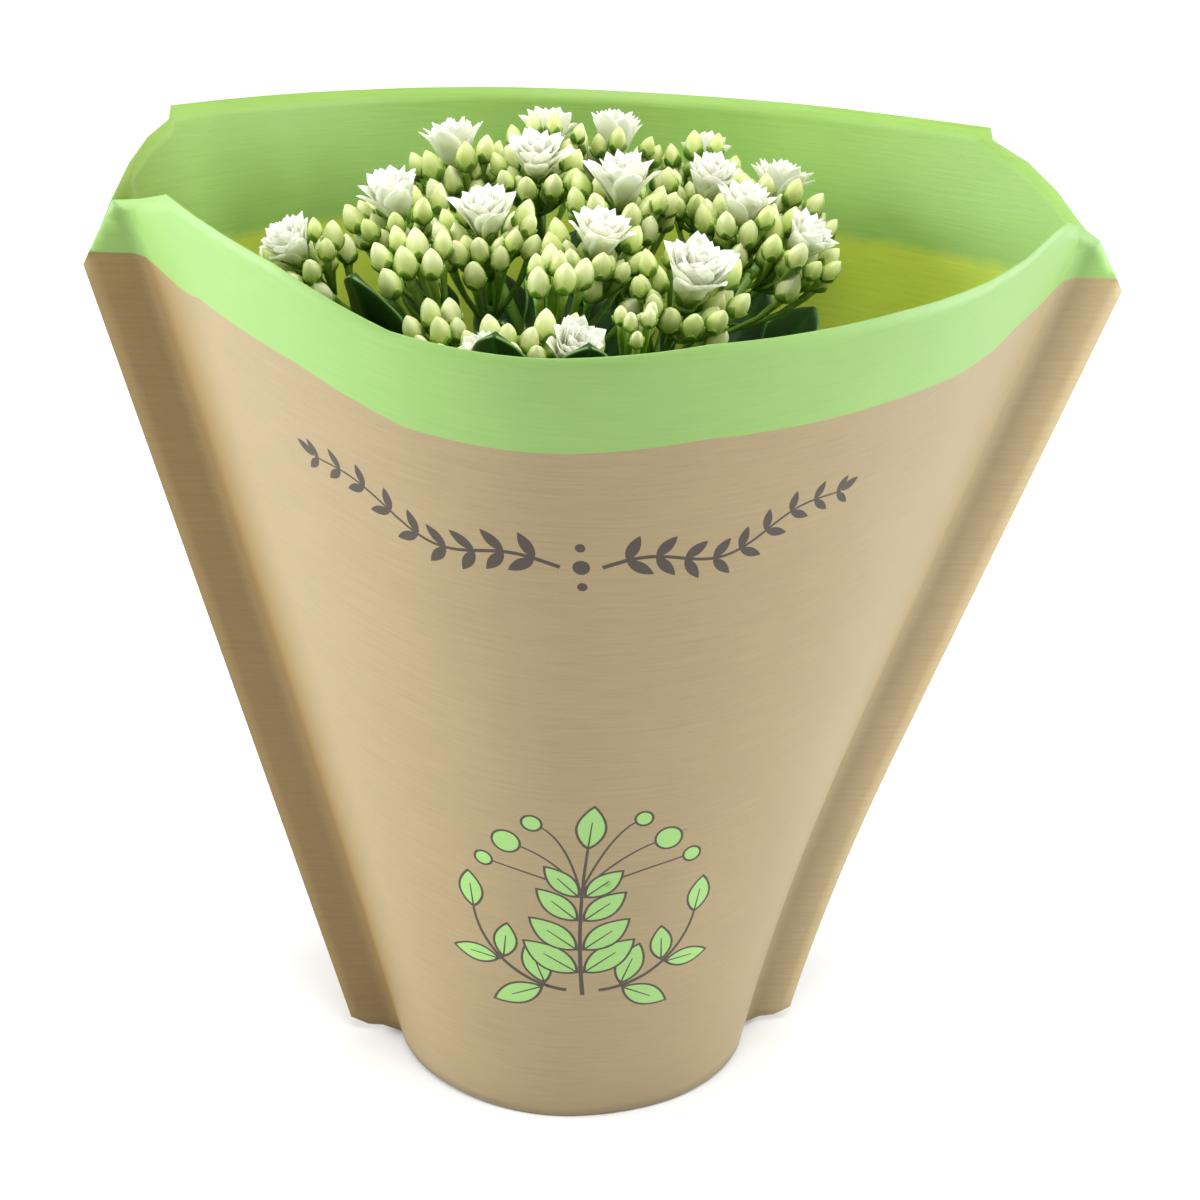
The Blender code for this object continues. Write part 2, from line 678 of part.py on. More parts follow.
def bloom_body(name, centre, size, axis, turn, finish):
    """A double flower: spreading outer petals, steeper inner ones and a closed middle."""
    base = bloom_base(centre, size, axis)
    across, up = square_axes(axis, turn)
    bodies = [loft([ring(base + z * size * axis, axis, r * size, 5, turn) for z, r in CORE])]
    for layer in PETAL_LAYERS:
        for k in range(layer.petals):
            angle = 2 * math.pi * (k + layer.turn) / layer.petals
            out = math.cos(angle) * across + math.sin(angle) * up
            bodies.append(petal_body(base, axis, out, size, layer))
    return join_bodies(name, bodies, finish)


def build():
    clear_scene()
    kraft = material("kraft_paper", (0.50, 0.40, 0.23), 0.7)
    plastic = material("pot_plastic", (0.06, 0.055, 0.05), 0.5)
    peat = material("peat", (0.06, 0.04, 0.025), 0.95)
    leaf = material("leaf_green", (0.035, 0.10, 0.02), 0.35)
    bud = material("bud_green", (0.55, 0.68, 0.30), 0.5)
    petal = material("petal_white", (0.90, 0.90, 0.80), 0.5)
    sleeve_panel(FRONT, kraft)
    sleeve_panel(BACK, kraft)
    nursery_pot(plastic)
    soil_body(peat)
    leaves = leaf_places()
    heads = flower_heads()
    for shoot in range(len(SHOOT_AZIMUTHS)):
        leafy_shoot(shoot, leaves, heads, leaf)
    number = 0
    for head in heads:
        spray_body(head, bud)
        for centre, size, axis in head.blooms:
            number += 1
            bloom_body(f"bloom_{number:02d}", centre, size, axis, 0.9 * number, petal)


build()
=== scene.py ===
"""Looks of a potted florist's kalanchoe in a flared paper sleeve.

Lengths are in millimetres until a mesh is made. The layout functions are those of the model's source.
"""

import json
import math
from collections import namedtuple

import bmesh
import bpy
import numpy as np
from mathutils import Matrix, Vector, geometry, noise

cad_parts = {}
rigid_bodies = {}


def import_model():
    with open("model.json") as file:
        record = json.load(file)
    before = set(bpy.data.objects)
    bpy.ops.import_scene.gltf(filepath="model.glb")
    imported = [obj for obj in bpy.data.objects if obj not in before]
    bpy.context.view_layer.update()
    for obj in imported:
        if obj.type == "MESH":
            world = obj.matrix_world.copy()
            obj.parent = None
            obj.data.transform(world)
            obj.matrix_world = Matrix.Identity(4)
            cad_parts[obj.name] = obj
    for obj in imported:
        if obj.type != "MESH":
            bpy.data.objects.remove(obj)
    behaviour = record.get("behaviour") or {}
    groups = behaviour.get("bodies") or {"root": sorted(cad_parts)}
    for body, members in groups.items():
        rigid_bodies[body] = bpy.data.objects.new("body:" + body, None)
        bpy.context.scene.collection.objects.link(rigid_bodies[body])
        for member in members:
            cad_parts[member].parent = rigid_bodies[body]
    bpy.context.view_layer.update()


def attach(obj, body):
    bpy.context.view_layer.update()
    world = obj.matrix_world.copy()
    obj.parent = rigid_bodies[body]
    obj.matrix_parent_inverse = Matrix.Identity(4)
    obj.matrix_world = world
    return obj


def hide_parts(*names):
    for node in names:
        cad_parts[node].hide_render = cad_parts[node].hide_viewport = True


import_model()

MM = 0.001
GOLDEN_ANGLE = math.pi * (3 - math.sqrt(5))

# Layout, as in the model

# A column is -1 at a flange's tip, 0 at its root and 1 in the panel's middle.
# A rim is pairs of column and flat height. The paper sags a little, so its left and right differ.
CLEAR = 0.3
FRONT_HEIGHT = 204.0
HALF_BOTTOM = 50.0
HALF_TOP = 116.0
FLANGE_BOTTOM = 7.0
FLANGE_TOP = 10.3
DEPTH_BOTTOM = 32.5
STEEP_BOTTOM = 83.0
CREASE_BOTTOM = 0.107
CREASE_TOP = 0.058
LEAN = 10.8
RISE_FLANGE = 1.026
CORNER_RISE = 1.2
LIFT = 0.4
FLARE = 5.0
FLARE_HEIGHT = 70.0
Panel = namedtuple("Panel", "name side depth_top steep_top skew rise left_rim right_rim band")
FRONT = Panel(
    "sleeve_front", -1, 78.0, 26.0, -0.205, 0.985,
    ((-1, 181), (0, 194), (0.09, 198.5), (0.18, 205.4), (0.42, 206.2), (0.65, 202.8), (1, FRONT_HEIGHT)),
    ((-1, 181), (0, 191.5), (0.09, 199), (0.15, 203.4), (0.18, 203), (0.24, 201), (0.32, 201),
     (0.5, 203.3), (0.8, 205.5), (1, FRONT_HEIGHT)),
    20.0,
)
BACK = Panel(
    "sleeve_back", 1, 77.0, 36.0, 0.0, 0.963,
    ((-1, 180.5), (0, 194.3), (0.05, 200.8), (0.1, 205), (0.15, 207.8), (0.16, 210.4), (1, 210.5)),
    ((-1, 181), (-0.5, 186.2), (0, 190.8), (0.05, 195), (0.1, 200), (0.16, 204.8),
     (0.225, 208.2), (0.235, 210.7), (1, 210.5)),
    26.9,
)
BOTTOM_CORNER = ((-1, 2.5), (-0.5, 0.4), (0, 0))

POT_HEIGHT = 80.0
POT_BASE = 31.6
POT_TOP = 43.8
POT_WALL = 1.2
RIM_HEIGHT = 9.0
RIM_OUT = 1.2
DRAIN_HOLES = 6
DRAIN_RING = 22.0
DRAIN_RADIUS = 3.5
SOIL_TOP = 70.0
SOIL_CROWN = 2.0

PLANT_LEAN = (-9.5, 2.0)
SHOOT_AZIMUTHS = (20, 95, 170, 237, 312)
SHOOT_FOOT = 58.0
SHOOT_TOP = 160.0
SHOOT_SPREAD = (9.0, 15.0)
SHOOT_RADIUS = (2.7, 2.0)
LEAF_LAYERS = 4
LEAF_TURN = 20.0
LEAF_FOOT = (88.0, 134.0)
LEAF_REACH = (44.0, 54.0)
LEAF_CLIMB = (12.0, 44.0)
LEAF_CURL = 1.7
TOP_LEAVES = ((18, 54, 44), (139, 54, 46), (208, 60, 62), (253, 61, 57), (308, 60, 61))
LEAF_WIDTH = 32.0
LEAF_THICK = 1.2
LEAF_FOLD = 0.16
PETIOLE_SHARE = 0.24
PETIOLE_HALF = 1.7
SCALLOPS = 4
SCALLOP_DEPTH = 1.5

DOME_MIDDLE = (-11.0, 3.0)
DOME_TOP = 205.5
DOME_DROP = 10.0
DOME_SIDE = 58.0
DOME_FRONT = 46.0
DOME_BACK = 90.0
STUB = 6.0
STUB_OUT = 1.2
STUB_STEP = 4.4
HUB_DROP = 16.0
BUD_RADIUS = 2.6
BUD_LENGTH = 6.8
ROOT_STEP = 1.2
BLOOM_RADIUS = 8.6
BLOOM_BASE = 5.5
SEED = 11
SPREAD_ROUNDS = 120
SPREAD_STEP = 0.3

Spray = namedtuple("Spray", "name buds head blooms")
SPRAYS = (
    Spray("a", 5, (-64, 3), ((-68, -2, 0.85),)),
    Spray("b", 5, (-47, 12), ((-47, 10, 1.0),)),
    Spray("c", 6, (-34, 38), ((-32, 41, 1.0),)),
    Spray("d", 6, (-29, -4), ((-30, -5, 0.95),)),
    Spray("e", 4, (-14, 43), ((-17, 29, 0.9), (-11, 55, 0.85))),
    Spray("f", 7, (-46, -15), ()),
    Spray("g", 7, (-42, -34), ()),
    Spray("h", 5, (6, 57), ((5, 58, 1.0),)),
    Spray("i", 6, (0, 15), ((-1, 14, 1.05),)),
    Spray("j", 5, (-9, -15), ((-9, -15, 0.9),)),
    Spray("k", 6, (-20, -29), ()),
    Spray("l", 5, (8, -26), ((8, -26, 1.15),)),
    Spray("m", 3, (23, 42), ((21, 30, 0.95), (25, 59, 0.8))),
    Spray("n", 5, (44, 46), ((40, 47, 0.95),)),
    Spray("o", 6, (31, 4), ((25, 8, 0.85), (35, 1, 0.85))),
    Spray("p", 1, (-25, -48), ((-17, -46, 0.85), (-34, -46, 0.6))),
    Spray("q", 5, (-6, -41), ()),
)

# Looks
PAPER = 0.3  # thickness of the paper as it is shown
PAPER_SIDE = 0.17  # each panel stands off the seam by this much
SLOW_WAVE = 0.484  # how far the paper's slow and quick waves rise
QUICK_WAVE = 0.077
GRID_ROWS = 62
FLAT_TOP = 212.0
FLAT_LEVELS = 54
ARC_STEPS = 200
PETALS = 34
PETAL_SKIN = 0.22
# Rings of small buds round a bloom: how many, and their way from its axis and above its middle.
BUD_RINGS = ((6, 6.2, -5.4), (9, 8.8, -2.7))
GATHER = 0.76  # the main buds' shown way from their head's middle, as a share of the model's
# The same for the low heads in front, their buds' shown size as a share of the model's, and their lift.
FRONT_HEADS = {"f": (0.74, 0.95, 3.0), "g": (0.6, 0.86, 0.0), "k": (0.66, 0.92, 7.0), "q": (0.45, 0.66, 5.5)}
BUD_UPRIGHT = 0.8
SLIM = 0.86  # the buds' shown radius, as a share of the model's


def unit(vector):
    vector = np.asarray(vector, float)
    return vector / np.linalg.norm(vector)


def blend(ends, share):
    return ends[0] + (ends[1] - ends[0]) * share


def helper_for(axis):
    return np.eye(3)[np.argmin(np.abs(axis))]


def square_axes(axis, turn=0.0, helper=None):
    axis = unit(axis)
    first = unit(np.cross(axis, helper_for(axis) if helper is None else helper))
    second = np.cross(axis, first)
    return (
        first * math.cos(turn) + second * math.sin(turn),
        second * math.cos(turn) - first * math.sin(turn),
    )


def ray(across, up, angle):
    """The way from an axis at an angle round it."""
    return math.cos(angle) * across + math.sin(angle) * up


def rays(across, up, angles):
    """The same for an array of angles."""
    return np.cos(angles)[:, None] * across + np.sin(angles)[:, None] * up


def whole_turn(sides):
    """Equal angles all the way round."""
    return np.arange(sides) * 2 * math.pi / sides


def bent(start, bend, end, shares):
    """Points along a curve from start to end that is drawn towards bend."""
    return [start * (1 - s) ** 2 + 2 * bend * s * (1 - s) + end * s * s for s in shares]


def read_off(pairs, x):
    """The value at x of a line through pairs of x and value."""
    return float(np.interp(x, *zip(*pairs)))


def linked(name, data):
    """A new object in the scene."""
    piece = bpy.data.objects.new(name, data)
    bpy.context.scene.collection.objects.link(piece)
    return piece


def half_section(panel, tall):
    """Shares along the paper, across and in depth, from the flange's root to the panel's middle."""
    steep = math.radians(blend((STEEP_BOTTOM, panel.steep_top), tall))
    crease = blend((CREASE_BOTTOM, CREASE_TOP), tall)
    along = np.linspace(0.0, 1.0, 161)
    turn = np.clip(along / crease, 0.0, 1.0)
    angle = steep * turn * turn * (3 - 2 * turn) * (1 - np.clip((along - crease) / (1 - crease), 0, 1))
    middle = (angle[1:] + angle[:-1]) / 2
    across = np.concatenate([[0.0], np.cumsum(np.cos(middle))])
    depth = np.concatenate([[0.0], np.cumsum(np.sin(middle))])
    return along, across / across[-1], depth / depth[-1]


def pot_radius(z):
    return blend((POT_BASE, POT_TOP), z / POT_HEIGHT)


def plant_middle(z):
    share = min(max((z - SOIL_TOP) / (SHOOT_TOP - SOIL_TOP), 0.0), 1.0)
    return np.array(PLANT_LEAN) * share, share


def shoot_point(shoot, z):
    middle, share = plant_middle(z)
    angle = math.radians(SHOOT_AZIMUTHS[shoot])
    out = blend(SHOOT_SPREAD, share)
    return np.array((middle[0] + out * math.cos(angle), middle[1] + out * math.sin(angle), z))


def leaf_half_width(share, width):
    if share <= PETIOLE_SHARE:
        return PETIOLE_HALF
    blade = (share - PETIOLE_SHARE) / (1 - PETIOLE_SHARE)
    return PETIOLE_HALF + (width / 2 - PETIOLE_HALF) * math.sin(math.pi * blade ** 0.8) ** 0.6


def leaf_midrib(foot, tip, share):
    point = foot + (tip - foot) * share
    point[2] = foot[2] + (tip[2] - foot[2]) * max(share, 0.0) ** LEAF_CURL
    return point


def leaf_places():
    """Every large leaf: its shoot, foot, tip, width and the wave of its edge."""
    draw = np.random.default_rng(SEED)
    places = []
    for layer in range(LEAF_LAYERS):
        height = layer / (LEAF_LAYERS - 1)
        for shoot, azimuth in enumerate(SHOOT_AZIMUTHS):
            turn = LEAF_TURN * (1 if layer % 2 else -1) + draw.uniform(-2, 2)
            heading = (azimuth + turn, blend(LEAF_REACH, height), blend(LEAF_CLIMB, height))
            if layer == LEAF_LAYERS - 1:
                heading = TOP_LEAVES[shoot]
            angle = math.radians(heading[0])
            foot = shoot_point(shoot, blend(LEAF_FOOT, height))
            middle, _ = plant_middle(foot[2])
            out = heading[1] * np.array((math.cos(angle), math.sin(angle)))
            tip = np.array((*(middle + out), foot[2] + heading[2] + draw.uniform(-1.5, 1.5)))
            places.append((shoot, foot, tip, LEAF_WIDTH * draw.uniform(0.92, 1.03), draw.uniform(0.3, 0.8)))
    return places


def dome_height(x, y):
    across = (x - DOME_MIDDLE[0]) / DOME_SIDE
    along = y - DOME_MIDDLE[1]
    along /= DOME_FRONT if along < 0 else DOME_BACK
    return DOME_TOP - DOME_DROP * (across * across + along * along)


Head = namedtuple("Head", "spray shoot node way hub blooms buds")


def nearest_shoot(spray):
    middle = np.array(PLANT_LEAN)
    angle = math.degrees(math.atan2(spray.head[1] - middle[1], spray.head[0] - middle[0]))
    turns = [abs((angle - azimuth + 180) % 360 - 180) for azimuth in SHOOT_AZIMUTHS]
    return turns.index(min(turns))


def spray_nodes():
    """Each spray's shoot and the point where it leaves it, the nearest sprays highest."""
    nodes = {}
    for shoot in range(len(SHOOT_AZIMUTHS)):
        mine = [spray for spray in SPRAYS if nearest_shoot(spray) == shoot]
        top = shoot_point(shoot, SHOOT_TOP)
        mine.sort(key=lambda spray: math.hypot(spray.head[0] - top[0], spray.head[1] - top[1]))
        for rank, spray in enumerate(mine):
            node = shoot_point(shoot, SHOOT_TOP - 1.0 - STUB_STEP * rank)
            out = unit((spray.head[0] - node[0], spray.head[1] - node[1], 0))
            nodes[spray.name] = (shoot, node + (out * STUB_OUT if rank else 0))
    return nodes


def bud_reach(spray, k):
    inner, wide = (5.0, 0.6) if spray.blooms else (0.0, 0.3)
    return inner + 9.0 * math.sqrt((k + wide) / spray.buds)


def flower_places():
    """Every bloom and bud: its spray, kind and size, and its place once all are kept apart."""
    draw = np.random.default_rng(SEED + 1)
    owners = []
    centres = []
    radii = []
    for spray in SPRAYS:
        for x, y, size in spray.blooms:
            owners.append((spray.name, "bloom", size))
            centres.append((x, y, dome_height(x, y)))
            radii.append(BLOOM_RADIUS * size - 0.4)
        start = draw.uniform(0, 2 * math.pi)
        for k in range(spray.buds):
            angle = start + k * GOLDEN_ANGLE
            out = bud_reach(spray, k)
            x, y = spray.head[0] + out * math.cos(angle), spray.head[1] + out * math.sin(angle)
            owners.append((spray.name, "bud", draw.uniform(0.85, 1.1)))
            centres.append((x, y, dome_height(x, y) - 1.5 - 0.35 * out + draw.uniform(-1.5, 1.5)))
            radii.append(BUD_RADIUS * owners[-1][2] + 0.6)
    centres = spread_apart(np.array(centres), np.array(radii), leaf_samples())
    return owners, centres


def leaf_samples():
    samples = []
    for _, foot, tip, width, _ in leaf_places():
        side = unit(np.cross((0, 0, 1), tip - foot))
        for share in np.linspace(0.5, 1.0, 7):
            half = leaf_half_width(share, width)
            for hand in (-1, -0.5, 0, 0.5, 1):
                lift = np.array((0, 0, LEAF_FOLD * half * abs(hand)))
                samples.append(leaf_midrib(foot, tip, share) + side * half * hand + lift)
    return np.array(samples)


def push_away(centres, others, reach):
    """How far each centre moves to stand clear of others that are nearer than reach."""
    gaps = centres[:, None] - others[None, :]
    far = np.linalg.norm(gaps, axis=2) + 1e-9
    push = np.clip(reach - far, 0, None) * SPREAD_STEP
    return (gaps / far[..., None] * push[..., None]).sum(axis=1)


def spread_apart(centres, radii, fixed):
    reach = radii[:, None] + radii[None, :] + 0.5
    np.fill_diagonal(reach, 0.0)
    weight = radii.min() / radii
    for _ in range(SPREAD_ROUNDS):
        centres = centres + push_away(centres, centres, reach) * weight[:, None]
        centres = centres + push_away(centres, fixed, radii[:, None] + 1.8)
    return centres


def facing(centre, hub, upright):
    return unit(unit(centre - hub) + np.array((0, 0, upright)))


def flower_heads():
    owners, centres = flower_places()
    nodes = spray_nodes()
    heads = []
    for spray in SPRAYS:
        shoot, node = nodes[spray.name]
        mine = []
        for (name, kind, size), centre in zip(owners, centres):
            if name == spray.name:
                mine.append((kind, size, centre))
        head = np.mean([centre for _, _, centre in mine], axis=0)
        hub = head - HUB_DROP * unit(head - node)
        way = facing(hub, node, 0.15)
        blooms = [(centre, size, facing(centre, hub, 0.25)) for kind, size, centre in mine if kind == "bloom"]
        buds = [(centre, size) for kind, size, centre in mine if kind == "bud"]
        heads.append(Head(spray, shoot, node, way, hub, blooms, buds))
    return heads


def stalk_curve(head, shares):
    start = head.node + head.way * (STUB + CLEAR)
    bend = start + head.way * 0.45 * np.linalg.norm(head.hub - start)
    return bent(start, bend, head.hub, shares)


# Materials
def srgb(red, green, blue):
    """A linear colour from 0 to 255 values."""
    def linear(value):
        value /= 255
        return value / 12.92 if value <= 0.04045 else ((value + 0.055) / 1.055) ** 2.4
    return (linear(red), linear(green), linear(blue), 1.0)


class Graph:
    """A material's nodes, with short ways to add and join them."""

    def __init__(self, name, **sockets):
        self.material = bpy.data.materials.new(name)
        self.material.use_nodes = True
        self.tree = self.material.node_tree
        self.shader = self.tree.nodes["Principled BSDF"]
        for socket, value in sockets.items():
            self.shader.inputs[socket.replace("_", " ")].default_value = value

    def add(self, kind, inputs=None, **properties):
        node = self.tree.nodes.new("ShaderNode" + kind)
        for key, value in properties.items():
            setattr(node, key, value)
        for socket, value in (inputs or {}).items():
            if isinstance(value, bpy.types.NodeSocket):
                self.tree.links.new(value, node.inputs[socket])
            else:
                node.inputs[socket].default_value = value
        return node

    def attribute(self, name, output="Fac"):
        return self.add("Attribute", attribute_name=name).outputs[output]

    def scaled(self, vector, scale):
        return self.add("Mapping", {"Vector": vector, "Scale": scale}).outputs[0]

    def noise(self, vector, scale, detail=2.0, rough=0.5):
        inputs = {"Vector": vector, "Scale": scale, "Detail": detail, "Roughness": rough}
        return self.add("TexNoise", inputs).outputs["Fac"]

    def span(self, value, low, high, start=0.0, end=1.0):
        inputs = {"Value": value, "From Min": low, "From Max": high, "To Min": start, "To Max": end}
        return self.add("MapRange", inputs).outputs[0]

    def math(self, operation, first, second=0.0):
        return self.add("Math", {0: first, 1: second}, operation=operation).outputs[0]

    def ramp(self, value, stops):
        node = self.add("ValToRGB", {"Fac": value})
        bar = node.color_ramp.elements
        while len(bar) < len(stops):
            bar.new(0.5)
        for element, (place, colour) in zip(bar, stops):
            element.position = place
            element.color = colour
        return node.outputs["Color"]

    def mix(self, share, first, second, blend_type="MIX"):
        inputs = {"Factor": share, 6: first, 7: second}
        return self.add("Mix", inputs, data_type="RGBA", blend_type=blend_type).outputs[2]

    def times(self, colour, factor):
        return self.mix(1.0, colour, factor, "MULTIPLY")

    def tinted(self, colour, shade):
        """A colour made lighter and darker by a value around 1."""
        return self.times(colour, self.add("CombineColor", {k: shade for k in range(3)}).outputs[0])

    def place(self):
        return self.add("TexCoord").outputs["Object"]

    def around(self, fac, middle, reach):
        """A noise's value spread evenly round a middle."""
        return self.span(fac, 0.3, 0.7, middle - reach, middle + reach)

    def bump(self, height, distance, strength):
        node = self.add("Bump", {"Height": height, "Distance": distance, "Strength": strength})
        self.tree.links.new(node.outputs[0], self.shader.inputs["Normal"])

    def colour(self, socket):
        self.tree.links.new(socket, self.shader.inputs["Base Color"])
        return self

    def wire(self, socket, name):
        self.tree.links.new(socket, self.shader.inputs[name])

    def glow(self, colour, share):
        """Lets a share of the light through."""
        through = self.add("BsdfTranslucent", {"Color": colour})
        mixed = self.add("MixShader", {0: share, 1: self.shader.outputs[0], 2: through.outputs[0]})
        self.tree.links.new(mixed.outputs[0], self.tree.nodes["Material Output"].inputs["Surface"])


KRAFT = srgb(149, 131, 95)
KRAFT_DARK = srgb(133, 113, 78)
BAND_GREEN = srgb(129, 166, 88)
PRINT_GREEN = srgb(140, 184, 104)
INK = srgb(62, 52, 42)
INNER_GREEN = srgb(141, 181, 88)
# the inner band's green near the rim, darkened as painted shade
INNER_TOP_SHADE = srgb(132, 169, 76)
# the inside's olive paper, made paler by painted light that stands in for light shining through the sheet
INNER_OLIVE_AND_GLOW = srgb(184, 203, 70)
INNER_BAND_FOOT = 182.7  # flat height of the inner band's lower edge
# Painted shade darkens the paper along its left seam and a painted highlight pales it along its right one:
# by how much, and from where to where across the seam, in millimetres outward from its crease.
SEAM_SHADE = (0.72, 0.62, 0.41, 1.0)
SHADE_WAY = (-26.0, -4.0)
SEAM_LIGHT = (1.62, 1.63, 1.72, 1.0)
LIT_WAY = (-1.0, 9.0)


def paper_graph(name, colour_of, fibre=1.0, shaded=1.0):
    """Paper: fibre streaks along its width, a fine grain, slow mottling, a slight sheen, painted shade along
    its left seam and a painted highlight along its right one.

    Shaded is how much of the painted shade along the left seam it takes.
    """
    g = Graph(name, Roughness=0.5, Specular_IOR_Level=0.4)
    flat = g.attribute("flat", "Vector")
    seam = g.span(g.attribute("seam"), *SHADE_WAY, 0.0, shaded)
    streak = g.noise(g.scaled(flat, (0.07, 1.3, 1.0)), 1.0, 4.0, 0.6)
    grain = g.noise(flat, 3.2, 2.0)
    cloud = g.noise(flat, 0.05, 2.0)
    shade = g.math("ADD", g.around(streak, 1.0, 0.075 * fibre), g.around(grain, 0.0, 0.045 * fibre))
    shade = g.math("ADD", shade, g.around(cloud, 0.0, 0.02))
    colour = g.tinted(colour_of(g, flat), shade)
    # painted shade along the left seam, then a painted highlight along the right one
    colour = g.mix(seam, colour, g.times(colour, SEAM_SHADE))
    g.colour(g.mix(g.span(g.attribute("lit"), *LIT_WAY), colour, g.times(colour, SEAM_LIGHT)))
    height = g.math("ADD", streak, g.math("MULTIPLY", grain, 0.5))
    g.bump(height, 0.00006, 0.6)
    g.wire(g.span(streak, 0.3, 0.7, 0.44, 0.56), "Roughness")
    return g.material


def kraft_colour(g, flat):
    fleck = g.noise(g.scaled(flat, (0.5, 3.4, 1.0)), 1.0, 1.0)
    return g.mix(g.span(fleck, 0.66, 0.74, 0.0, 0.35), KRAFT, KRAFT_DARK)


def inner_colour(g, flat):
    """The inside: a green band along the top, darkened towards the rim by painted shade, and olive paper that
    turns brown towards the foot.
    """
    height = g.add("SeparateXYZ", {"Vector": flat}).outputs["Y"]
    height = g.math("ADD", height, g.around(g.noise(flat, 0.12), 0.0, 0.7))
    # olive paper, paled by painted light for the light shining through the sheet
    olive = g.mix(g.span(height, 60.0, 170.0), KRAFT_DARK, INNER_OLIVE_AND_GLOW)
    # the band's green darkens towards the rim as painted shade
    green = g.mix(g.span(height, 193.0, 211.0), INNER_GREEN, INNER_TOP_SHADE)
    return g.mix(g.span(height, INNER_BAND_FOOT - 1.2, INNER_BAND_FOOT + 1.2), olive, green)


def plain_colour(colour):
    return lambda g, flat: g.mix(0.0, colour, colour)


def petal_material():
    g = Graph("petal_white", Roughness=0.5)
    tone = g.attribute("tone")
    place = g.place()
    vein = g.noise(place, 1400.0, 2.0)
    tone = g.math("ADD", tone, g.around(vein, 0.0, 0.03))
    white = g.ramp(tone, (
        (0.0, srgb(178, 200, 96)), (0.2, srgb(214, 226, 150)),
        (0.42, srgb(247, 249, 229)), (1.0, srgb(253, 253, 248)),
    ))
    g.colour(white).glow(white, 0.5)
    g.bump(vein, 0.00005, 0.4)
    return g.material


def bud_material():
    g = Graph("bud_green", Roughness=0.42)
    place = g.place()
    speck = g.noise(place, 700.0, 3.0)
    tone = g.math("ADD", g.attribute("tone"), g.around(speck, 0.0, 0.035))
    green = g.ramp(tone, (
        (0.0, srgb(66, 100, 30)), (0.25, srgb(92, 136, 38)), (0.45, srgb(120, 160, 52)),
        (0.55, srgb(160, 190, 72)), (0.62, srgb(186, 208, 98)), (0.8, srgb(216, 227, 142)),
        (1.0, srgb(236, 239, 190)),
    ))
    g.colour(green).glow(green, 0.2)
    g.bump(speck, 0.00008, 0.35)
    return g.material


def leaf_material():
    g = Graph("leaf_green", Roughness=0.46, Specular_IOR_Level=0.28)
    place = g.place()
    cloud = g.noise(place, 90.0, 3.0)
    grain = g.noise(place, 1500.0, 2.0)
    tone = g.math("ADD", g.attribute("tone"), g.around(cloud, 0.0, 0.12))
    g.colour(g.ramp(tone, (
        (0.0, srgb(24, 46, 16)), (0.45, srgb(38, 70, 24)), (0.8, srgb(54, 92, 34)), (0.95, srgb(98, 134, 62)),
    )))
    g.bump(g.math("ADD", cloud, g.math("MULTIPLY", grain, 0.2)), 0.0003, 0.4)
    g.wire(g.span(grain, 0.3, 0.7, 0.4, 0.54), "Roughness")
    return g.material


def stem_material():
    g = Graph("stem_green", Roughness=0.5)
    place = g.place()
    streak = g.noise(g.scaled(place, (900.0, 900.0, 120.0)), 1.0, 3.0)
    g.colour(g.ramp(streak, ((0.3, srgb(72, 100, 40)), (0.7, srgb(112, 142, 62)))))
    g.bump(streak, 0.0001, 0.4)
    return g.material


def pot_material():
    g = Graph("pot_plastic", Roughness=0.42)
    place = g.place()
    grain = g.noise(place, 2200.0, 2.0)
    cloud = g.noise(place, 60.0, 3.0)
    g.colour(g.ramp(cloud, ((0.3, (0.028, 0.026, 0.024, 1.0)), (0.7, (0.05, 0.047, 0.043, 1.0)))))
    g.bump(grain, 0.00006, 0.5)
    g.wire(g.span(cloud, 0.3, 0.7, 0.36, 0.5), "Roughness")
    return g.material


def soil_material():
    g = Graph("peat", Roughness=0.95)
    place = g.place()
    crumb = g.noise(place, 420.0, 5.0, 0.65)
    g.colour(g.ramp(crumb, ((0.3, srgb(34, 24, 16)), (0.55, srgb(66, 48, 34)), (0.75, srgb(110, 86, 62)))))
    g.bump(crumb, 0.0012, 0.9)
    return g.material


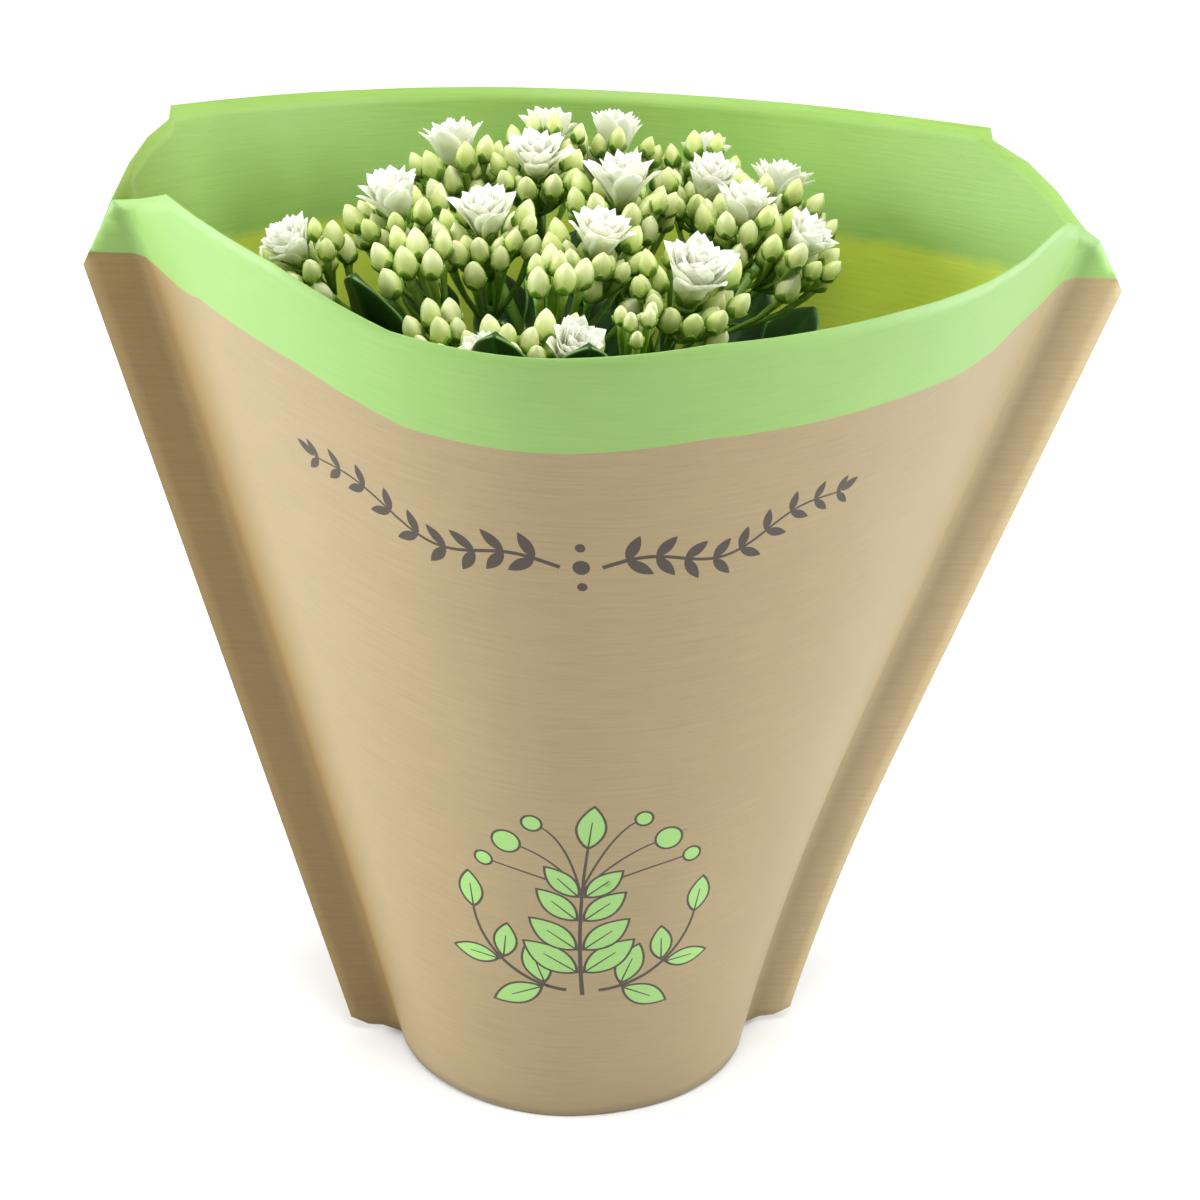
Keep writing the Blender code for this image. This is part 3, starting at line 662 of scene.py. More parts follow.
# Meshes
class Patch:
    """Collects the points, faces, tones and finishes of one piece."""

    def __init__(self):
        self.points = []
        self.tones = []
        self.faces = []
        self.finishes = []
        self.count = 0

    def add(self, points, tones, faces, finish=0):
        points = np.asarray(points, float).reshape(-1, 3)
        self.points.append(points)
        self.tones.append(np.broadcast_to(np.asarray(tones, float).ravel(), (len(points),)))
        start = self.count
        self.faces.extend([tuple(k + start for k in face) for face in faces])
        self.finishes.extend([finish] * len(faces))
        self.count += len(points)

    def blade(self, upper, lower, tones):
        """A closed blade between two grids of points."""
        rows, columns = upper.shape[:2]
        shift = rows * columns
        faces = []
        for row in range(rows - 1):
            for column in range(columns - 1):
                a = row * columns + column
                b, c, d = a + 1, a + columns + 1, a + columns
                faces.append((a, d, c, b))
                faces.append((a + shift, b + shift, c + shift, d + shift))
        border = list(range(columns))
        border += [row * columns + columns - 1 for row in range(1, rows)]
        border += [(rows - 1) * columns + column for column in range(columns - 2, -1, -1)]
        border += [row * columns for row in range(rows - 2, 0, -1)]
        for here, after in zip(border, border[1:] + border[:1]):
            faces.append((here, after, after + shift, here + shift))
        points = np.concatenate([upper.reshape(-1, 3), lower.reshape(-1, 3)])
        self.add(points, np.tile(tones.ravel(), 2), faces)

    def loft(self, rings, tones, finish=0):
        """A closed body through rings with the same number of points; both ends are capped."""
        rings = np.asarray(rings)
        rows, sides = rings.shape[:2]
        faces = [tuple(reversed(range(sides)))]
        for row in range(rows - 1):
            for k in range(sides):
                a, b = row * sides + k, row * sides + (k + 1) % sides
                faces.append((a, b, b + sides, a + sides))
        faces.append(tuple(range((rows - 1) * sides, rows * sides)))
        tones = np.asarray(tones, float)
        self.add(rings, tones if tones.ndim == 2 else np.repeat(tones, sides), faces, finish)

    def tube(self, points, radii, tones, sides, finish=0):
        """A round body along a line of points."""
        points = np.asarray(points, float)
        ways = np.gradient(points, axis=0)
        helper = helper_for(unit(ways.sum(axis=0)))
        angles = whole_turn(sides)
        rings = []
        for point, way, radius in zip(points, ways, radii):
            rings.append(point + radius * rays(*square_axes(way, 0.0, helper), angles))
        self.loft(rings, tones, finish)

    def make(self, name, materials):
        mesh = bpy.data.meshes.new(name)
        points = np.concatenate(self.points) * MM
        mesh.from_pydata(points.tolist(), [], self.faces)
        for material in materials:
            mesh.materials.append(material)
        mesh.polygons.foreach_set("material_index", self.finishes)
        tone = mesh.attributes.new("tone", "FLOAT", "POINT")
        tone.data.foreach_set("value", np.concatenate(self.tones).astype(np.float32))
        mesh.shade_smooth()
        return linked(name, mesh)


def dress(piece, slot, *nodes):
    """The piece rides on the part and stands for CAD nodes; the slot is not used."""
    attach(piece, "root")
    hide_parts(*nodes)


# Sleeve
class FlatMap:
    """Takes a point of the flat sheet to its place on the standing sleeve.

    A flat point is its way from the panel's middle line, to the right, and its height.
    """

    def __init__(self, panel):
        self.panel = panel
        self.levels = np.linspace(0, FLAT_TOP, FLAT_LEVELS)
        self.points = {}
        self.lengths = {}
        self.arcs = {}
        for right in (False, True):
            sections = [self.section(level, right) for level in self.levels]
            self.points[right] = np.array([section[0] for section in sections])
            self.lengths[right] = np.array([section[1] for section in sections])
            self.arcs[right] = [section[2] for section in sections]

    def section(self, flat, right):
        """A level's half section at equal steps of arc, from the middle to the flange, and its length."""
        panel = self.panel
        tall = flat / FRONT_HEIGHT
        along, across, depth = half_section(panel, tall)
        inner = blend((HALF_BOTTOM, HALF_TOP), tall) - blend((FLANGE_BOTTOM, FLANGE_TOP), tall)
        flare = FLARE * max(0.0, 1 - flat / FLARE_HEIGHT) ** 2 if right else 0.0
        sign = 1 if right else -1
        reach = inner + flare - sign * panel.skew * tall * inner
        x = sign * (inner + flare - across * reach)
        stand = depth * blend((DEPTH_BOTTOM, panel.depth_top), tall)
        y = LEAN * tall + panel.side * (PAPER_SIDE + stand)
        z = flat * blend((RISE_FLANGE, panel.rise), depth) + CORNER_RISE * (1 - depth) + LIFT
        run = np.concatenate([[0], np.cumsum(np.hypot(np.diff(x), np.diff(y)))])
        steps = run[-1] * (1 - np.linspace(0, 1, ARC_STEPS + 1))
        points = np.stack([np.interp(steps, run, value) for value in (x, y, z)], axis=1)
        return points, run[-1], (along, run)

    def length(self, flat, right):
        return np.interp(flat, self.levels, self.lengths[right])

    def from_column(self, column, flat, right):
        """The flat point of a column and a height."""
        level = int(round(np.interp(flat, self.levels, range(len(self.levels)))))
        total = float(self.length(flat, right))
        if column <= 0:
            out = total - column * blend((FLANGE_BOTTOM, FLANGE_TOP), flat / FRONT_HEIGHT)
        else:
            along, run = self.arcs[right][level]
            out = total * (1 - np.interp(column, along, run) / run[-1])
        return (out if right else -out, flat)

    def place(self, flats):
        """The standing points of flat points, in millimetres."""
        flats = np.asarray(flats, float)
        placed = np.zeros((len(flats), 3))
        for right in (False, True):
            mine = (flats[:, 0] >= 0) == right
            across, high = np.abs(flats[mine, 0]), np.clip(flats[mine, 1], 0, FLAT_TOP - 0.01)
            total = np.interp(high, self.levels, self.lengths[right])
            column = np.clip(across / total, 0, 1) * ARC_STEPS
            row = high / self.levels[1]
            r0, c0 = row.astype(int), np.minimum(column.astype(int), ARC_STEPS - 1)
            fr, fc = (row - r0)[:, None], (column - c0)[:, None]
            grid = self.points[right]
            low = grid[r0, c0] * (1 - fc) + grid[r0, c0 + 1] * fc
            top = grid[r0 + 1, c0] * (1 - fc) + grid[r0 + 1, c0 + 1] * fc
            point = low * (1 - fr) + top * fr
            point[:, 0] += (1 if right else -1) * np.clip(across - total, 0, None)
            placed[mine] = point
        return placed


def oval_leaf(x, y, angle, length, width, steps=12):
    """A pointed oval, from its foot to its tip and back."""
    t = np.linspace(0, 1, steps + 1)
    half = width / 2 * np.sin(math.pi * t ** 0.92) ** 0.85
    upper = np.stack([t * length, half], axis=1)
    lower = np.stack([t[-2:0:-1] * length, -half[-2:0:-1]], axis=1)
    outline = np.concatenate([upper, lower])
    turn = np.array(((math.cos(angle), math.sin(angle)), (-math.sin(angle), math.cos(angle))))
    return outline @ turn + (x, y)


def ribbon(points, start, end):
    """A line with a width that runs evenly from start to end."""
    points = np.asarray(points, float)
    ways = np.gradient(points, axis=0)
    ways /= np.linalg.norm(ways, axis=1)[:, None]
    side = np.stack([-ways[:, 1], ways[:, 0]], axis=1) * np.linspace(start, end, len(points))[:, None] / 2
    return np.concatenate([points + side, (points - side)[::-1]])


def disc(x, y, radius, sides=20):
    angles = whole_turn(sides)
    return np.stack([x + radius * np.cos(angles), y + radius * np.sin(angles)], axis=1)


def arc_points(start, way, length, bend, steps):
    """A gently bent line: its start, its first direction, its length and how much it turns."""
    angles = way + bend * np.linspace(0, 1, steps)
    run = np.stack([np.cos(angles), np.sin(angles)], axis=1) * length / (steps - 1)
    points = np.concatenate([[start], np.asarray(start) + np.cumsum(run[:-1], axis=0)])
    return points, angles


BAND_FOOT = 183.6  # flat height of the green band's lower edge beside the flanges
BAND_BEND = (0.05, 0.16)  # the columns between which that edge leaves this height to follow the rim
LINE_CLEAR = 0.8  # no other point of the sheet lies closer to that edge
FAR_FROM_SEAM = -30.0
GARLAND_HEIGHT = 158.0
OUTLINE = 0.55  # width of the printed outlines
TWIG_FOOT = np.array((-1.9, 72.0))
BERRIES = (
    (-17.5, 84.5, 3.3), (-12.0, 91.0, 2.4), (-22.5, 78.0, 2.2),
    (17.0, 86.0, 3.3), (22.5, 80.0, 2.3), (11.5, 92.5, 2.2),
)
KRAFT_FINISH, BAND_FINISH, PRINT_FINISH, INK_FINISH = range(4)


def outlined_leaf(x, y, angle, length, width):
    """A green leaf with a dark outline and midrib."""
    shift = OUTLINE * 1.5
    foot = (x + shift * math.cos(angle), y + shift * math.sin(angle))
    inner = oval_leaf(*foot, angle, length - 2 * shift, width - 2 * OUTLINE)
    rib = np.array([[x, y], [x + 0.62 * length * math.cos(angle), y + 0.62 * length * math.sin(angle)]])
    outer = oval_leaf(x, y, angle, length, width)
    return [(outer, INK_FINISH), (inner, PRINT_FINISH), (ribbon(rib, 0.45, 0.25), INK_FINISH)]


def outlined_berry(x, y, radius):
    """A green berry with a dark outline, on a thin bent twig."""
    twig = bent(TWIG_FOOT, np.array((0.42 * x, y - 1.5)), np.array((x, y)), np.linspace(0, 1, 14))
    return [
        (ribbon(twig, 0.55, 0.4), INK_FINISH), (disc(x, y, radius), INK_FINISH),
        (disc(x, y, radius - OUTLINE), PRINT_FINISH),
    ]


def leafy_sprig(start, way, length, bend, pairs, leaf):
    """A bent stem with leaves in turn on its two sides, smaller towards its end, and one at the end."""
    points, angles = arc_points(start, way, length, bend, 26)
    shapes = [(ribbon(points, 1.0, 0.6), INK_FINISH)]
    for k in range(pairs):
        share = 0.16 + 0.74 * k / pairs
        at = points[int(share * 25)]
        heading = angles[int(share * 25)]
        scale = 1.0 - 0.38 * share
        for hand in (1, -1):
            turn = heading + hand * (0.95 - 0.25 * share)
            spot = at + 0.9 * hand * np.array((-math.sin(heading), math.cos(heading))) * 0.5
            shapes += outlined_leaf(*spot, turn, leaf * scale, leaf * 0.5 * scale)
    shapes += outlined_leaf(*points[-1], angles[-1], leaf * 0.8, leaf * 0.42)
    return shapes


def printed_sprigs():
    """Three leafy sprigs from one foot, with berries on twigs between them."""
    shapes = []
    for x, y, radius in BERRIES:
        shapes += outlined_berry(x, y, radius)
    shapes += leafy_sprig((-4.5, 42.0), math.radians(172), 31.0, math.radians(-76), 2, 14.0)
    shapes += leafy_sprig((2.5, 42.0), math.radians(8), 31.0, math.radians(72), 2, 14.0)
    shapes += leafy_sprig((-1.0, 40.5), math.radians(95), 44.0, math.radians(-12), 4, 16.0)
    return shapes


def printed_garland():
    """A slim dark vine across the sheet, the same on both sides of its middle."""
    polygons = []
    for hand in (1, -1):
        x = np.linspace(4.0, 56.0, 46)
        y = GARLAND_HEIGHT + 1.9 * np.sin((x - 4.0) * 0.19) + 0.0032 * (x - 4.0) ** 2
        line = np.stack([hand * x, y], axis=1)
        polygons.append(ribbon(line, 0.9, 0.4))
        for k in range(4, 45, 5):
            way = line[k + 1] - line[k - 1]
            heading = math.atan2(way[1], way[0])
            for side in (1, -1):
                size = 6.6 - 0.05 * k
                polygons.append(oval_leaf(*line[k], heading + side * 0.85, size, size * 0.4, 8))
        polygons.append(oval_leaf(*line[-1], math.atan2(0.4, hand), 5.0, 2.0, 8))
    for rise, radius in ((0.0, 1.7), (4.6, 1.0), (-4.6, 1.0)):
        polygons.append(disc(0.0, GARLAND_HEIGHT + rise, radius, 14))
    return [(polygon, INK_FINISH) for polygon in polygons]


def inside(polygon, points):
    """Which points lie inside a polygon."""
    low, high = polygon.min(axis=0), polygon.max(axis=0)
    near = np.flatnonzero(((points > low) & (points < high)).all(axis=1))
    x, y = points[near, 0], points[near, 1]
    odd = np.zeros(len(near), bool)
    for (x0, y0), (x1, y1) in zip(polygon, np.roll(polygon, -1, axis=0)):
        crosses = (y0 > y) != (y1 > y)
        if crosses.any():
            at = (x1 - x0) * (y - y0) / ((y1 - y0) or 1e-12) + x0
            odd ^= crosses & (x < at)
    return near[odd]


def rim(panel, column, right):
    """The flat height of a panel's rim at a column."""
    return read_off(panel.right_rim if right else panel.left_rim, column)


def band_foot(panel, column, right):
    """The flat height of the band's lower edge: level beside the flanges, and then along the rim."""
    if panel is BACK:
        return BAND_FOOT
    along_rim = rim(panel, max(column, BAND_BEND[1]), right) - panel.band
    return float(np.interp(column, BAND_BEND, (BAND_FOOT, along_rim)))


def sheet_outline(flat_map):
    """The flat sheet's outline, anticlockwise from the left of its foot."""
    panel = flat_map.panel
    corners = {c for pairs in (panel.left_rim, panel.right_rim, BOTTOM_CORNER) for c, _ in pairs}
    corners = sorted(corners | set(np.linspace(0.25, 1, 24)) | {-0.75, -0.25})
    walk = [(c, False) for c in corners] + [(c, True) for c in reversed(corners[:-1])]
    foot = [flat_map.from_column(c, read_off(BOTTOM_CORNER, c), right) for c, right in walk]
    head = [flat_map.from_column(c, rim(panel, c, right), right) for c, right in walk]
    rises = []
    for right in (True, False):
        heights = np.linspace(BOTTOM_CORNER[0][1], rim(panel, -1, right), GRID_ROWS)[1:-1]
        rises.append([flat_map.from_column(-1, height, right) for height in heights])
    return np.array(foot + rises[0] + head[::-1] + rises[1][::-1])


def sheet_grid(flat_map):
    """Points all over the flat sheet, closer along the creases."""
    panel = flat_map.panel
    columns = np.concatenate([[-0.66, -0.33, 0], np.linspace(0.008, 0.2, 20), np.linspace(0.225, 1.0, 26)])
    points = []
    for right in (False, True):
        for c in columns:
            low, high = read_off(BOTTOM_CORNER, c), rim(panel, c, right)
            for share in np.linspace(0, 1, GRID_ROWS)[1:-1]:
                points.append(flat_map.from_column(c, low + (high - low) * share, right))
    return points


def cut_sheet(flat_map, prints):
    """The flat sheet cut where its colours meet: its points, its faces and the finish of each face."""
    panel = flat_map.panel
    outline = sheet_outline(flat_map)
    loops = [outline] + [polygon for polygon, _ in prints]
    line = []
    for right in (False, True):
        for c in np.linspace(-1.25, 1, 90):
            line.append(flat_map.from_column(c, band_foot(panel, c, right), right))
    line = np.array(sorted(tuple(point) for point in line))
    grid = [(x, y) for x, y in sheet_grid(flat_map) if abs(y - np.interp(x, *line.T)) > LINE_CLEAR]
    points = [Vector(point) for point in grid]
    edges = []
    for loop in loops:
        start = len(points)
        points.extend(Vector(point) for point in loop)
        edges.extend((start + k, start + (k + 1) % len(loop)) for k in range(len(loop)))
    edges.extend((len(points) + k, len(points) + k + 1) for k in range(len(line) - 1))
    points.extend(Vector(point) for point in line)
    flats, _, faces, _, _, _ = geometry.delaunay_2d_cdt(points, edges, [], 0, 1e-4)
    flats = np.array([tuple(point) for point in flats])
    faces = np.array(faces)
    middles = flats[faces].mean(axis=1)
    kept = inside(outline, middles)
    faces, middles = faces[kept], middles[kept]
    above = middles[:, 1] > np.interp(middles[:, 0], *line.T)
    finish = np.where(above, BAND_FINISH, KRAFT_FINISH)
    for polygon, index in prints:
        finish[inside(polygon, middles)] = index
    used = np.unique(faces)
    fresh = np.full(len(flats), -1)
    fresh[used] = np.arange(len(used))
    return flats[used], fresh[faces], finish


def sleeve_piece(panel, name, prints, materials):
    """One printed sheet of the sleeve, as it stands."""
    flat_map = FlatMap(panel)
    flats, faces, finish = cut_sheet(flat_map, prints)
    placed = flat_map.place(flats)
    across = flats[:, 0]
    total = np.where(across >= 0, flat_map.length(flats[:, 1], True), flat_map.length(flats[:, 1], False))
    calm = np.clip((total - np.abs(across)) / 25.0, 0, 1)
    slow = np.array([noise.noise(Vector((x * 0.03, y * 0.018, panel.side))) for x, y in flats])
    quick = np.array([noise.noise(Vector((x * 0.11, y * 0.05, 7.0 + panel.side))) for x, y in flats])
    placed[:, 1] += panel.side * calm * (SLOW_WAVE * slow + QUICK_WAVE * quick)
    mesh = bpy.data.meshes.new(name)
    mesh.from_pydata((placed * MM).tolist(), [], (faces if panel.side < 0 else faces[:, ::-1]).tolist())
    for material in materials:
        mesh.materials.append(material)
    mesh.polygons.foreach_set("material_index", finish.astype(np.int32))
    flat = mesh.attributes.new("flat", "FLOAT_VECTOR", "POINT")
    flat.data.foreach_set("vector", np.column_stack([flats, np.zeros(len(flats))]).astype(np.float32).ravel())
    # how far past the left and right seams each point lies, for the painted shade and the painted highlight
    for attribute, hand in (("seam", -1), ("lit", 1)):
        seam = mesh.attributes.new(attribute, "FLOAT", "POINT")
        past = np.where(hand * across > 0, np.abs(across) - total, FAR_FROM_SEAM)
        seam.data.foreach_set("value", past.astype(np.float32))
    mesh.shade_smooth()
    piece = linked(name, mesh)
    paper = piece.modifiers.new("paper", "SOLIDIFY")
    paper.thickness = PAPER * MM
    paper.offset = 0.0
    paper.material_offset = 4
    paper.use_even_offset = False
    return piece


def make_sleeve():
    kraft = paper_graph("kraft_paper", kraft_colour)
    # the printed band takes only a fifth of the painted shade along the left seam
    green = paper_graph("printed_green_band", plain_colour(BAND_GREEN), 0.6, 0.2)
    leaf_print = paper_graph("printed_green", plain_colour(PRINT_GREEN), 0.6)
    ink = paper_graph("printed_ink", plain_colour(INK), 1.6)
    design = printed_sprigs() + printed_garland()
    for panel, name, prints in ((FRONT, "paper_front", design), (BACK, "paper_back", [])):
        inner = paper_graph(name + "_inner", inner_colour, 0.8)
        piece = sleeve_piece(panel, name, prints, [kraft, green, leaf_print, ink] + [inner] * 4)
        dress(piece, "kraft", panel.name)


# Pot and soil
POT_SIDES = 96
SOIL_SIDES = 110
SOIL_RINGS = 34
CRUMBS = 150


def turned(profile, sides):
    """Rings round Z, from radius and height pairs."""
    angles = whole_turn(sides)
    return [np.stack([r * np.cos(angles), r * np.sin(angles), np.full(sides, z)], axis=1) for r, z in profile]


def make_pot():
    """A flared pot with a rim that stands out, and drain holes through its base."""
    step = POT_HEIGHT - RIM_HEIGHT
    wide = pot_radius(step)
    low = pot_radius(2) - POT_WALL
    top = POT_TOP + RIM_OUT
    profile = [(2.0, 0.0), (14.0, 0.0), (POT_BASE - 1.2, 0.0), (POT_BASE - 0.4, 0.25), (POT_BASE, 0.9)]
    profile += [(pot_radius(z), z) for z in np.linspace(3.0, step, 14)]
    profile += [(wide + RIM_OUT * 0.8, step + 0.2), (wide + RIM_OUT, step + 0.8), (top, POT_HEIGHT - 0.6)]
    profile += [(top - 0.3, POT_HEIGHT - 0.1), (top - POT_WALL + 0.2, POT_HEIGHT - 0.1)]
    profile += [(top - POT_WALL, POT_HEIGHT - 0.6), (wide - POT_WALL, step - 1)]
    profile += [(low, 2.0), (low - 3.2, POT_WALL), (2.0, POT_WALL)]
    patch = Patch()
    patch.loft(turned(profile, POT_SIDES), np.zeros(len(profile)))
    pot = patch.make("pot_shell", [pot_material()])
    drills = bpy.data.collections.new("drills")
    bpy.context.scene.collection.children.link(drills)
    for k in range(DRAIN_HOLES):
        angle = 2 * math.pi * (k + 0.5) / DRAIN_HOLES
        middle = Vector((DRAIN_RING * math.cos(angle), DRAIN_RING * math.sin(angle), 0)) * MM
        radius = DRAIN_RADIUS * MM
        hole = bmesh.new()
        bmesh.ops.create_cone(
            hole, cap_ends=True, segments=24, radius1=radius, radius2=radius, depth=6 * MM,
            matrix=Matrix.Translation(middle),
        )
        mesh = bpy.data.meshes.new(f"drill_{k}")
        hole.to_mesh(mesh)
        hole.free()
        drills.objects.link(bpy.data.objects.new(f"drill_{k}", mesh))
    cut = pot.modifiers.new("holes", "BOOLEAN")
    cut.operation = "DIFFERENCE"
    cut.solver = "EXACT"
    cut.operand_type = "COLLECTION"
    cut.collection = drills
    bpy.context.view_layer.objects.active = pot
    bpy.ops.object.modifier_apply(modifier=cut.name)
    for drill in list(drills.objects):
        bpy.data.objects.remove(drill, do_unlink=True)
    bpy.data.collections.remove(drills)
    pot.data.set_sharp_from_angle(angle=math.radians(40))
    dress(pot, "pot", "pot")


def make_soil():
    """A crumbly disc of soil: a lumpy top over a plain body, with crumbs on it."""
    draw = np.random.default_rng(SEED + 5)
    edge = pot_radius(SOIL_TOP) - POT_WALL - CLEAR - 0.3
    angles = whole_turn(SOIL_SIDES)
    body = [(2.0, 1.6), (pot_radius(2) - POT_WALL - CLEAR - 3.2, 1.6)]
    body += [(pot_radius(4) - POT_WALL - CLEAR, 4), (edge, SOIL_TOP - 2.2)]
    rings = turned(body, SOIL_SIDES)
    for r in np.linspace(edge - 0.2, 0.8, SOIL_RINGS):
        x, y = r * np.cos(angles), r * np.sin(angles)
        lump = np.array([noise.fractal(Vector((a * 0.16, b * 0.16, 3.0)), 1.0, 2.0, 4) for a, b in zip(x, y)])
        z = SOIL_TOP - 1.2 + SOIL_CROWN * (1 - (r / edge) ** 2) + np.clip(lump, -1, 1) * 0.9
        rings.append(np.stack([x, y, z], axis=1))
    patch = Patch()
    patch.loft(rings, np.zeros(len(rings)))
    for _ in range(CRUMBS):
        r = edge * math.sqrt(draw.uniform(0, 0.92))
        angle = draw.uniform(0, 2 * math.pi)
        x, y = r * math.cos(angle), r * math.sin(angle)
        z = SOIL_TOP - 1.0 + SOIL_CROWN * (1 - (r / edge) ** 2) + draw.uniform(-0.6, 0.3)
        size = draw.uniform(0.7, 1.7)
        squash = draw.uniform(0.5, 1.0, 3)
        ball = bmesh.new()
        bmesh.ops.create_icosphere(ball, subdivisions=1, radius=1.0)
        crumb = [np.array(v.co) * size * squash * draw.uniform(0.8, 1.15) + (x, y, z) for v in ball.verts]
        patch.add(crumb, 0.0, [tuple(v.index for v in f.verts) for f in ball.faces])
        ball.free()
    dress(patch.make("soil_fill", [soil_material()]), "soil", "soil")


# Leaves and shoots
LEAF_ROWS = 74
LEAF_ROUND = 0.955  # from here on a leaf rounds off to its tip
LEAF_HANDS = np.array((-1, -0.94, -0.84, -0.68, -0.45, -0.2, -0.05, 0.05, 0.2, 0.45, 0.68, 0.84, 0.94, 1))


def scallop(blade):
    """1 in the notch between two scallops, 0 at a scallop's crown."""
    return 1 - np.abs(np.sin(math.pi * blade / 2)) ** 0.55


def leaf_blade(patch, foot, tip, width, wave):
    """A thick leaf on its petiole, with round scallops, a fold along its midrib and a pale edge."""
    blade_rows = np.linspace(PETIOLE_SHARE, 0.992, LEAF_ROWS)
    rows = np.concatenate([np.linspace(0, PETIOLE_SHARE, 7)[:-1], blade_rows])
    step = (0.985 - PETIOLE_SHARE) / (2 * SCALLOPS)
    side = unit(np.cross((0, 0, 1), tip - foot))
    hands = LEAF_HANDS
    beside = np.abs(hands)
    upper = []
    lower = []
    tones = []
    for share in rows:
        middle = leaf_midrib(foot, tip, share)
        way = unit(leaf_midrib(foot, tip, min(share + 0.02, 1.0)) - leaf_midrib(foot, tip, share - 0.02))
        up = np.cross(way, side)
        up = -up if up[2] < 0 else up
        blade = max((share - PETIOLE_SHARE) / step, 0.0)
        notch = scallop(blade) if blade > 0.6 else 0.0
        half = leaf_half_width(share, width)
        full = min(1.0, blade / 1.2)
        if share > LEAF_ROUND:
            half *= math.sqrt(max(1 - ((share - LEAF_ROUND) / 0.0375) ** 2, 0.0004))
        half -= SCALLOP_DEPTH * notch * min(1.0, half / 6)
        lift = LEAF_FOLD * half * beside ** 1.25
        lift = lift - wave * math.cos(math.pi * blade) * full * beside ** 2
        thick = blend((2.4, LEAF_THICK + 0.35), full) * np.sqrt(np.clip(1 - beside ** 3.2, 0.05, 1))
        groove = 0.35 * full * np.exp(-(hands / 0.09) ** 2)
        base = middle + side * (half * hands)[:, None] + up * lift[:, None]
        upper.append(base + up * (thick / 2 - groove)[:, None])
        lower.append(base - up * (thick / 2 + groove * 0.5)[:, None])
        edge = np.clip((beside - 0.8) / 0.2, 0, 1)
        vein = np.exp(-(hands / 0.1) ** 2) * 0.35
        tones.append(np.clip(0.3 + 0.65 * edge ** 2 + vein, 0, 1) if full >= 1 else np.full(len(hands), 0.75))
    patch.blade(np.array(upper), np.array(lower), np.array(tones))


# Small leaves near the shoots' tops: shoot, height of the foot, tip and width.
UPPER_LEAVES = (
    (3, 148, (-33, -56, 201.5), 20), (3, 150, (-16, -58, 200.5), 19), (4, 150, (3, -52, 186), 22),
    (2, 150, (-48, -14, 186), 22), (0, 148, (34, 20, 182), 22), (1, 150, (-4, 48, 184), 22),
    (4, 142, (36, -22, 182), 24), (2, 142, (-52, 22, 178), 24), (0, 140, (40, -4, 176), 24),
    (1, 142, (-24, 38, 178), 24), (3, 140, (-40, -34, 180), 24), (4, 144, (16, -40, 180), 24),
    (2, 146, (-57, -27, 201), 24), (0, 152, (12, 6, 178), 20), (2, 152, (-28, -8, 180), 20),
    (3, 152, (-10, -22, 180), 22), (1, 152, (10, 28, 180), 20), (2, 150, (-37, 6, 187), 22),
    (1, 150, (-18, 20, 187), 22), (3, 150, (-27, -16, 188), 20), (4, 150, (1, -21, 183), 20),
)
UPPER_WAVE = 0.5  # how far their scallops rise and fall
KNOT_STEP = 15.3  # from one knot of a stem to the next
KNOT_RISE = 0.25


def make_shoot(shoot, leaves, heads, finishes):
    """A stem with its leaves, and a stub for each spray that leaves it."""
    patch = Patch()
    heights = np.linspace(SHOOT_FOOT, SHOOT_TOP, 30)
    points = [shoot_point(shoot, z) for z in heights]
    levels = (SHOOT_FOOT, SOIL_TOP + 4, 100, 130, SHOOT_TOP)
    radii = np.interp(heights, levels, [blend(SHOOT_RADIUS, k / 4) for k in range(5)])
    radii = radii + KNOT_RISE * np.exp(-(((heights - LEAF_FOOT[0]) % KNOT_STEP) / 2.0) ** 2)
    patch.tube(points, radii, np.zeros(30), 14, 1)
    for owner, *leaf in leaves:
        if owner == shoot:
            leaf_blade(patch, *leaf)
    for owner, height, tip, width in UPPER_LEAVES:
        if owner == shoot:
            leaf_blade(patch, shoot_point(shoot, height), np.array(tip, float), width, UPPER_WAVE)
    for head in heads:
        if head.shoot == shoot:
            ends = [head.node + head.way * out for out in (-0.6, 3, STUB - 0.3, STUB)]
            patch.tube(ends, [1.7, 1.5, 1.5, 1.3], np.zeros(4), 12, 1)
    dress(patch.make(f"shoot_{shoot + 1}", finishes), "leaf", f"leafy_shoot_{shoot + 1}")


# Flowers
BUD_PROFILE = np.array((
    (0.0, 0.42), (0.05, 0.64), (0.14, 0.86), (0.27, 0.98), (0.4, 1.0), (0.54, 0.95), (0.67, 0.83),
    (0.79, 0.64), (0.89, 0.41), (0.96, 0.2), (1.0, 0.05),
))
BUD_SIDES = 16
SEPAL_REACH = 0.44  # how far up a bud its sepals reach, as a share of its length
SEPAL_SKIN = 0.3
PETAL_ROWS = 8
PETAL_HANDS = np.array((-1, -0.55, 0, 0.55, 1))
PETAL_LENGTH = (11.4, 9.2)  # of the outermost and the innermost petal, as are the next three
PETAL_WIDTH = (7.6, 4.8)
PETAL_RING = (1.5, 0.35)
PETAL_START = (0.2, 2.6)
PETAL_LEAN = math.radians(54)  # of the outermost petals, from the flower's axis
PETAL_LEAN_RANGE = math.radians(8)
BLOOM_TUBE = ([0.8, 0.75, 0.75, 0.95, 1.1], [0.2, 0.26, 0.32, 0.36, 0.4, 0.42, 0.45])  # radii and tones
BUD_ROUNDS = 70
RING_BUD_SIZES = (0.68, 1.02)
# Each flower keeps two balls free of buds: their way along its axis, and radius as a share of the flower's.
KEPT_FREE = ((-2.6, 0.42), (2.4, 0.56))


def bud_ring(centre, axis, across, up, t, radius, size, angles):
    """A bud's points at a share t of its length."""
    height = (t - 0.5) * BUD_LENGTH * size
    return centre + axis * height + rays(across, up, angles) * np.broadcast_to(radius, angles.shape)[:, None]


